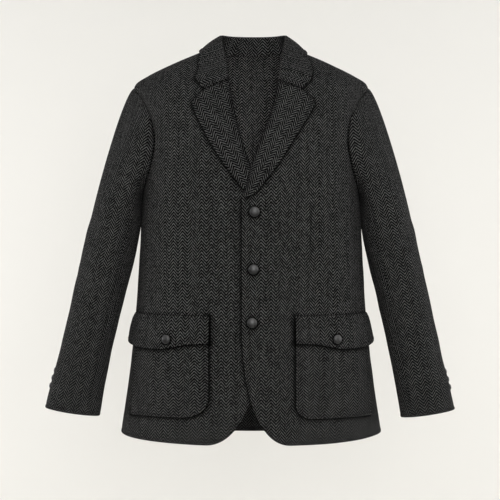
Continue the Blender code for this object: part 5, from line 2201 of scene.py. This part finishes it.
@dataclass(frozen=True)
class Tweed:
    """Charcoal herringbone tweed."""

    name: str = "charcoal_tweed"
    dark: Triple = (0.002, 0.002, 0.0021)
    light: Triple = (0.142, 0.1403, 0.137)
    yarn: float = 0.00132
    pick: float = 0.0015
    stripe: float = 7.0
    wobble: float = 0.45
    crest: float = 2.2
    tones: Pair = (0.25, 1.5)
    fuzz_scale: float = 1500.0
    fuzz_tones: Pair = (0.6, 0.8)
    fuzz_relief: float = 0.6
    cloud_scale: float = 22.0
    cloud_tones: Pair = (0.85, 0.3)
    roughness: float = 0.95
    specular: float = 0.03
    sheen: float = 0.01
    sheen_roughness: float = 0.6
    relief: float = 0.00025
    relief_strength: float = 0.9

    def make(self, weave: bpy.types.NodeTree) -> Material:
        """Build the material.

        Args:
            weave: the herringbone group.

        Returns:
            The material.
        """
        finish, shader, graph = blank_finish(self.name, self.roughness, self.specular)
        cloth = graph.node("ShaderNodeUVMap", uv_map="cloth").outputs[0]
        group = graph.node("ShaderNodeGroup", {
            "Cloth": cloth, "Yarn": self.yarn, "Pick": self.pick, "Stripe": self.stripe,
            "Wobble": self.wobble}, node_tree=weave)
        warp, rise, tone = (group.outputs[name] for name in ("Warp", "Height", "Tone"))
        fuzz = graph.noise(cloth, self.fuzz_scale, 3.0, 0.7)
        cloud = graph.noise(cloth, self.cloud_scale, 3.0, 0.6)
        crest = graph.times(warp, graph.math("POWER", rise, self.crest))
        colour = graph.blend(crest, (*self.dark, 1.0), (*self.light, 1.0))
        # the shade attribute is painted shade beside seams, edges and pieces lying on the cloth, and
        # painted light where it is below zero
        painted_shade = graph.node("ShaderNodeAttribute", attribute_name="shade").outputs["Fac"]
        level = graph.times(graph.span(tone, *self.tones), graph.span(fuzz, *self.fuzz_tones),
                            graph.span(cloud, *self.cloud_tones), graph.minus(1.0, painted_shade))
        grey = graph.node("ShaderNodeCombineColor", {0: level, 1: level, 2: level}).outputs[0]
        graph.feed(shader.inputs["Base Color"], graph.blend(1.0, colour, grey, "MULTIPLY"))
        height = graph.plus(rise, graph.times(fuzz, self.fuzz_relief))
        graph.feed(shader.inputs["Normal"], graph.emboss(height, self.relief_strength, self.relief))
        shader.inputs["Sheen Weight"].default_value = self.sheen
        shader.inputs["Sheen Roughness"].default_value = self.sheen_roughness
        return finish


@dataclass(frozen=True)
class Leather:
    """Dark leather of the plaited buttons, with light painted on where it faces up, as shading from
    above.
    """

    name: str = "button_leather"
    dark: Triple = (0.0045, 0.0044, 0.0043)
    # colour of the painted light on the side of each button that faces up
    painted_lit_colour: Triple = (0.105, 0.1035, 0.101)
    smoothest: float = 0.24
    roughening: float = 0.26
    shine: float = 0.52
    # direction that the painted light comes from
    painted_light_from: Triple = (0.34, -0.26, 0.9)
    painted_light_blotch_span: Pair = (0.55, 0.7)
    blotch_scale: float = 260.0
    pore_scale: float = 2600.0
    relief: float = 0.00008
    relief_strength: float = 0.5

    def make(self) -> Material:
        """Build the material.

        Returns:
            The material.
        """
        finish, shader, graph = blank_finish(self.name, self.smoothest, self.shine)
        where = graph.node("ShaderNodeTexCoord")
        blotch = graph.noise(where.outputs["Object"], self.blotch_scale, 4.0, 0.6)
        pores = graph.noise(where.outputs["Object"], self.pore_scale, 3.0, 0.6)
        # painted light and shade: lighter where the button faces up and a little to the right, darker
        # below, mottled by the blotches
        facing_painted_light = graph.node("ShaderNodeVectorMath", {0: where.outputs["Normal"], 1: self.painted_light_from},
                            operation="DOT_PRODUCT").outputs["Value"]
        painted_light = graph.times(facing_painted_light, graph.span(blotch, *self.painted_light_blotch_span))
        colour = graph.blend(painted_light, (*self.dark, 1.0), (*self.painted_lit_colour, 1.0))
        graph.feed(shader.inputs["Base Color"], colour)
        graph.feed(shader.inputs["Roughness"], graph.span(pores, self.smoothest, self.roughening))
        graph.feed(shader.inputs["Normal"], graph.emboss(pores, self.relief_strength, self.relief))
        return finish


@dataclass(frozen=True)
class Thread:
    """Charcoal sewing thread."""

    name: str = "charcoal_thread"
    colour: Triple = (0.016, 0.016, 0.0158)
    roughness: float = 0.7
    specular: float = 0.25

    def make(self) -> Material:
        """Build the material.

        Returns:
            The material.
        """
        finish, shader, _ = blank_finish(self.name, self.roughness, self.specular)
        shader.inputs["Base Color"].default_value = (*self.colour, 1.0)
        return finish


# ---------------------------------------------------------------- stitches
class Stitches:
    """Hand stitches along the turned edges, laid by a tree of geometry nodes."""

    pitch: float = 0.0034
    fewest: int = 5
    bead: dict[str, float] = {"Segments": 6, "Rings": 4, "Radius": 1.0}
    sizes: dict[str, float] = {"Length": 0.0011, "Thickness": 0.00022, "Unevenness": 0.22, "Seed": 7}

    def __init__(self, thread: Material) -> None:
        """Build the tree that every piece's stitches share.

        Args:
            thread: the thread's material.
        """
        self.tree, self.sockets = open_tree(
            "Hand stitches", "GeometryNodeTree",
            {"Places": ("Geometry", None), "Length": ("Float", None), "Thickness": ("Float", None),
             "Unevenness": ("Float", None), "Seed": ("Int", None)}, {"Stitches": "Geometry"})
        graph = Graph(self.tree)
        given = graph.node("NodeGroupInput").outputs
        points = graph.node("GeometryNodeMeshToPoints", {"Mesh": given["Places"]})
        bead = graph.node("GeometryNodeMeshUVSphere", self.bead)
        way = graph.node("GeometryNodeInputNamedAttribute", {"Name": "way"}, data_type="FLOAT_VECTOR")
        turn = graph.node("FunctionNodeAlignRotationToVector", {"Vector": way.outputs["Attribute"]},
                          axis="Z")
        chance = graph.node("FunctionNodeRandomValue", {"Seed": given["Seed"]}, data_type="FLOAT")
        low, high = [socket for socket in chance.inputs if socket.type == "VALUE"][:2]
        graph.feed(low, graph.minus(1.0, given["Unevenness"]))
        graph.feed(high, graph.plus(1.0, given["Unevenness"]))
        share = [socket for socket in chance.outputs if socket.type == "VALUE"][0]
        size = graph.node("ShaderNodeCombineXYZ", {0: given["Thickness"], 1: given["Thickness"],
                                                   2: graph.times(given["Length"], share)})
        laid = graph.node("GeometryNodeInstanceOnPoints", {
            "Points": points.outputs[0], "Instance": bead.outputs["Mesh"],
            "Rotation": turn.outputs[0], "Scale": size.outputs[0]})
        real = graph.node("GeometryNodeRealizeInstances", {0: laid.outputs[0]})
        coat = graph.node("GeometryNodeSetMaterial", {"Geometry": real.outputs[0], "Material": thread})
        graph.node("NodeGroupOutput", {"Stitches": coat.outputs[0]})

    def lines(self, cloth: Cloth) -> list[Array]:
        """Find the stitched lines of a piece.

        Args:
            cloth: the dressed piece.

        Returns:
            The stitches' places along each line.
        """
        away = cloth.distances()
        found = []
        stitch_at = EDGE_FINISH.stitch_at
        for side in SIDES:
            if cloth.edges.get(side) is not Edge.TURNED:
                continue
            outer, distance = cloth.outer, away[side]
            others = [away[other] for other in SIDES
                      if other != side and cloth.edges.get(other) is not Edge.HIDDEN]
            room = np.min(others, axis=0)
            if side in ("first_row", "last_row"):
                outer, distance, room = outer.swapaxes(0, 1), distance.T, room.T
            line = []
            for points, reach, free in zip(outer, distance, room):
                order = np.argsort(reach)
                if np.interp(stitch_at, reach[order], free[order]) < stitch_at:
                    continue
                line.append([np.interp(stitch_at, reach[order], points[order, axis])
                             for axis in range(3)])
            if len(line) >= self.fewest:
                found.append(fine_line(np.array(line), self.pitch))
        return found

    def lay(self, cloth: Cloth, name: str) -> bpy.types.Object | None:
        """Sew a piece's edges.

        Args:
            cloth: the dressed piece.
            name: name of the new object.

        Returns:
            The stitches as one plain mesh, or nothing where no edge is turned.
        """
        lines = self.lines(cloth)
        if not lines:
            return None
        places = np.concatenate([line[:-1] for line in lines])
        ways = np.concatenate([unit(np.diff(line, axis=0)) for line in lines])
        mesh = bpy.data.meshes.new(f"{name}_places")
        mesh.from_pydata(places.tolist(), [], [])
        attribute = mesh.attributes.new("way", "FLOAT_VECTOR", "POINT")
        attribute.data.foreach_set("vector", ways.astype(np.float32).ravel())
        sewn = add_object(name, mesh)
        layer = sewn.modifiers.new("stitches", "NODES")
        layer.node_group = self.tree
        for label, value in self.sizes.items():
            layer[self.sockets[label]] = value
        ready = sewn.evaluated_get(bpy.context.evaluated_depsgraph_get())
        plain = bpy.data.meshes.new_from_object(ready)
        sewn.modifiers.clear()
        sewn.data = plain
        plain.shade_smooth()
        LOG.info("%s: %d stitches", name, len(places))
        return sewn


# ---------------------------------------------------------------- studio
class Lamp(NamedTuple):
    """A round, soft light."""

    name: str
    place: Triple
    aim: Triple
    size: float
    power: float


@dataclass
class Studio:
    """Pale backdrop, soft lights and the camera."""

    camera_place: Triple = (-0.0019, -2.8, -0.3705)
    lens: float = 103.9
    sensor: float = 36.0
    nearest: float = 0.05
    floor_height: float = -2.2
    floor_bend: float = 0.5
    bend_steps: int = 15
    half_width: float = 7.0
    wall: float = 2.6
    wall_height: float = 5.5
    backdrop: Triple = (0.9, 0.885, 0.845)
    air: Triple = (1.0, 0.99, 0.97)
    air_strength: float = 0.1
    lamps: tuple[Lamp, ...] = listed(
        Lamp,
        ("front", (0.08, -3.8, -0.15), (0.0, 0.0, -0.37), 1.0, 62.0),
        ("left", (-3.2, -1.4, 0.2), (0.0, 0.0, -0.4), 2.0, 12.0),
        ("right", (3.2, -1.4, 0.4), (0.0, 0.0, -0.4), 2.0, 9.0),
        ("top", (0.35, -2.3, 1.8), (0.0, 0.0, -0.3), 1.3, 36.0),
        ("backdrop_left", (-3.8, 0.7, 0.0), (0.8, 2.6, -0.2), 2.4, 80.0),
        ("backdrop_right", (3.8, 0.7, 0.0), (-0.8, 2.6, -0.2), 2.4, 77.0))

    def build(self) -> None:
        """Make the studio."""
        self.sweep()
        self.lights()
        camera = bpy.data.cameras.new("camera")
        camera.lens = self.lens
        camera.sensor_width = self.sensor
        camera.clip_start = self.nearest
        viewer = add_object("camera", camera)
        viewer.location = self.camera_place
        viewer.rotation_euler = (math.pi / 2, 0.0, 0.0)
        bpy.context.scene.camera = viewer

    def sweep(self) -> None:
        """Make the floor, curved up into the backdrop."""
        outline = [(-self.half_width, 0.0), (self.wall - self.floor_bend, 0.0)]
        for step in range(1, self.bend_steps + 1):
            turn = math.pi / 2 * step / self.bend_steps
            outline.append((self.wall - self.floor_bend * (1 - math.sin(turn)),
                            self.floor_bend * (1 - math.cos(turn))))
        outline.append((self.wall, self.wall_height))
        points = [(side * self.half_width, y, self.floor_height + z)
                  for y, z in outline for side in (-1, 1)]
        faces = [(2 * k, 2 * k + 1, 2 * k + 3, 2 * k + 2) for k in range(len(outline) - 1)]
        mesh = bpy.data.meshes.new("backdrop")
        mesh.from_pydata(points, [], faces)
        mesh.shade_smooth()
        paper, shader, _ = blank_finish("backdrop_paper", 1.0, 0.0)
        shader.inputs["Base Color"].default_value = (*self.backdrop, 1.0)
        mesh.materials.append(paper)
        add_object("backdrop", mesh)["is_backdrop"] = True

    def lights(self) -> None:
        """Hang the soft lights and fill the air with a little light."""
        for lamp in self.lamps:
            light = bpy.data.lights.new(lamp.name, "AREA")
            light.shape = "DISK"
            light.size = lamp.size
            light.energy = lamp.power
            hung = add_object(lamp.name, light)
            hung.location = lamp.place
            way = Vector(lamp.aim) - Vector(lamp.place)
            hung.rotation_euler = way.to_track_quat("-Z", "Y").to_euler()
        world = bpy.data.worlds.new("studio_air")
        world.use_nodes = True
        air = world.node_tree.nodes["Background"]
        air.inputs["Color"].default_value = (*self.air, 1.0)
        air.inputs["Strength"].default_value = self.air_strength
        bpy.context.scene.world = world
        bpy.context.scene.view_settings.view_transform = "Standard"


# ---------------------------------------------------------------- the jacket
class Shadow(NamedTuple):
    """How dark the cloth is beside a line, and how far the shade reaches."""

    reach: float
    strength: float


@dataclass
class Jacket:
    """The dressed jacket: every solid is replaced by its finished piece."""

    held: str = "hung"
    pocket_shadow: Shadow = Shadow(0.0052, 0.97)
    flap_shadow: Shadow = Shadow(0.0062, 0.97)
    flap_seam_shadow: Shadow = Shadow(0.0026, 0.78)
    lapel_shadow: Shadow = Shadow(0.0055, 0.92)
    notch_shadow: Shadow = Shadow(0.0044, 0.9)
    notch_apart: float = 0.003
    collar_shadow: Shadow = Shadow(0.0048, 0.9)
    dart_seam: Pair = (-0.393, -0.283)
    dart_points: int = 60
    dart_shadow: Shadow = Shadow(0.0018, 0.68)
    lap_shadow: Shadow = Shadow(0.0048, 0.92)
    button_shadow: Shadow = Shadow(0.0042, 0.97)
    button_drop: float = 0.07
    button_points: int = 40
    button_near: float = 0.004

    def dress(self, cloth: Cloth, node: str, finish: Material) -> None:
        """Build a piece of cloth and put it in its solid's place.

        Args:
            cloth: the piece.
            node: its solid's node.
            finish: its material.
        """
        piece = cloth.build()
        piece.data.materials.append(finish)
        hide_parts(node)
        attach(piece, "root")

    def cut(self) -> dict[str, Cloth]:
        """Cut and place every piece of cloth.

        Returns:
            The pieces, by node.
        """
        cloths = {}
        for hand, side in HANDS.items():
            cloths[f"front_{hand}"] = BodyPanels().front(side)
            for kind in ("upper", "under"):
                cloths[f"sleeve_{kind}_{hand}"] = Sleeves().cloth(side, kind == "upper")
            cloths[f"lapel_{hand}"] = Lapels().cloth(side)
            cloths[f"pocket_{hand}"] = PatchPockets().cloth(side)
            cloths[f"flap_{hand}"] = PocketFlaps().cloth(side)
        cloths["back"] = BodyPanels().back()
        cloths["collar"] = Collar().cloth()
        return cloths

    def shade(self, cloths: dict[str, Cloth], spots: list[Spot]) -> None:
        """Paint shade onto each piece beside the edges of those that lie on it, round the buttons and
        along the left front's dart.

        Args:
            cloths: the pieces of cloth, by node.
            spots: the buttons.
        """
        collar = cloths["collar"]
        for hand in HANDS:
            front, pocket, flap, lapel = (cloths[f"{kind}_{hand}"]
                                          for kind in ("front", "pocket", "flap", "lapel"))
            for side in ("first_row", "first_column", "last_column"):
                front.darken(pocket.line(side), *self.pocket_shadow)
            for side in SIDES:
                shadow = self.flap_seam_shadow if side == "first_row" else self.flap_shadow
                for piece in (front, pocket):
                    piece.darken(flap.line(side), *shadow)
            front.darken(lapel.line("last_column"), *self.lapel_shadow)
            gorge = collar.line("last_row" if hand == "left" else "first_row")
            notch = lapel.line("first_row")
            apart = np.linalg.norm(notch[:, None] - gorge[None], axis=-1).min(axis=1)
            front.darken(notch[apart > self.notch_apart], *self.notch_shadow)
            front.darken(collar.line("last_column"), *self.collar_shadow)
        left = cloths["front_left"]
        heights = np.linspace(*self.dart_seam, self.dart_points)
        angle = BODY.front_angle(BODY.dart_aside, heights)
        left.darken(fine_line(BODY.laid(angle, heights, np.zeros_like(heights))), *self.dart_shadow)
        edge = left.line("first_column")
        cloths["front_right"].darken(edge[edge[:, 2] < BODY.break_height], *self.lap_shadow)
        about = np.linspace(0, 2 * math.pi, self.button_points)
        # the painted shadow ring round each button sits a little low, as if cast from above
        ring = joined(np.cos(about), 0 * about, np.sin(about) - self.button_drop)
        for spot in spots:
            for piece in cloths.values():
                if np.linalg.norm(piece.outer - spot.foot, axis=-1).min() < self.button_near:
                    piece.darken(fine_line(spot.foot + spot.size.radius * ring), *self.button_shadow)

    def build(self) -> None:
        """Build the whole jacket."""
        tweed = Tweed().make(Herringbone().group())
        leather = Leather().make()
        cloths = self.cut()
        spots = Buttons().spots()
        self.shade(cloths, spots)
        stitches = Stitches(Thread().make())
        for node, cloth in cloths.items():
            self.dress(cloth, node, tweed)
            if node == "back" or node.startswith("sleeve"):
                continue
            sewn = stitches.lay(cloth, f"stitches_{node}")
            if sewn is not None:
                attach(sewn, "root")
        for spot in spots:
            piece = Buttons().mesh(spot)
            piece.data.materials.append(leather)
            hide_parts(spot.node)
            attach(piece, "root")
            LOG.info("%s: %d faces", piece.name, len(piece.data.polygons))


def corners(box: object) -> list[list[float]]:
    """Give a box as plain lists of numbers."""
    return [[float(value) for value in corner] for corner in box]


def main() -> None:
    """Build the studio and the jacket, and measure the bounds of the solids and of the dressed jacket.
    """
    logging.basicConfig(level=logging.INFO, format="%(name)s: %(message)s")
    solid_box = corners(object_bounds())
    Studio().build()
    Jacket().build()
    {"cad": solid_box, "visual": corners(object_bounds())}


if __name__ == "__main__":
    main()
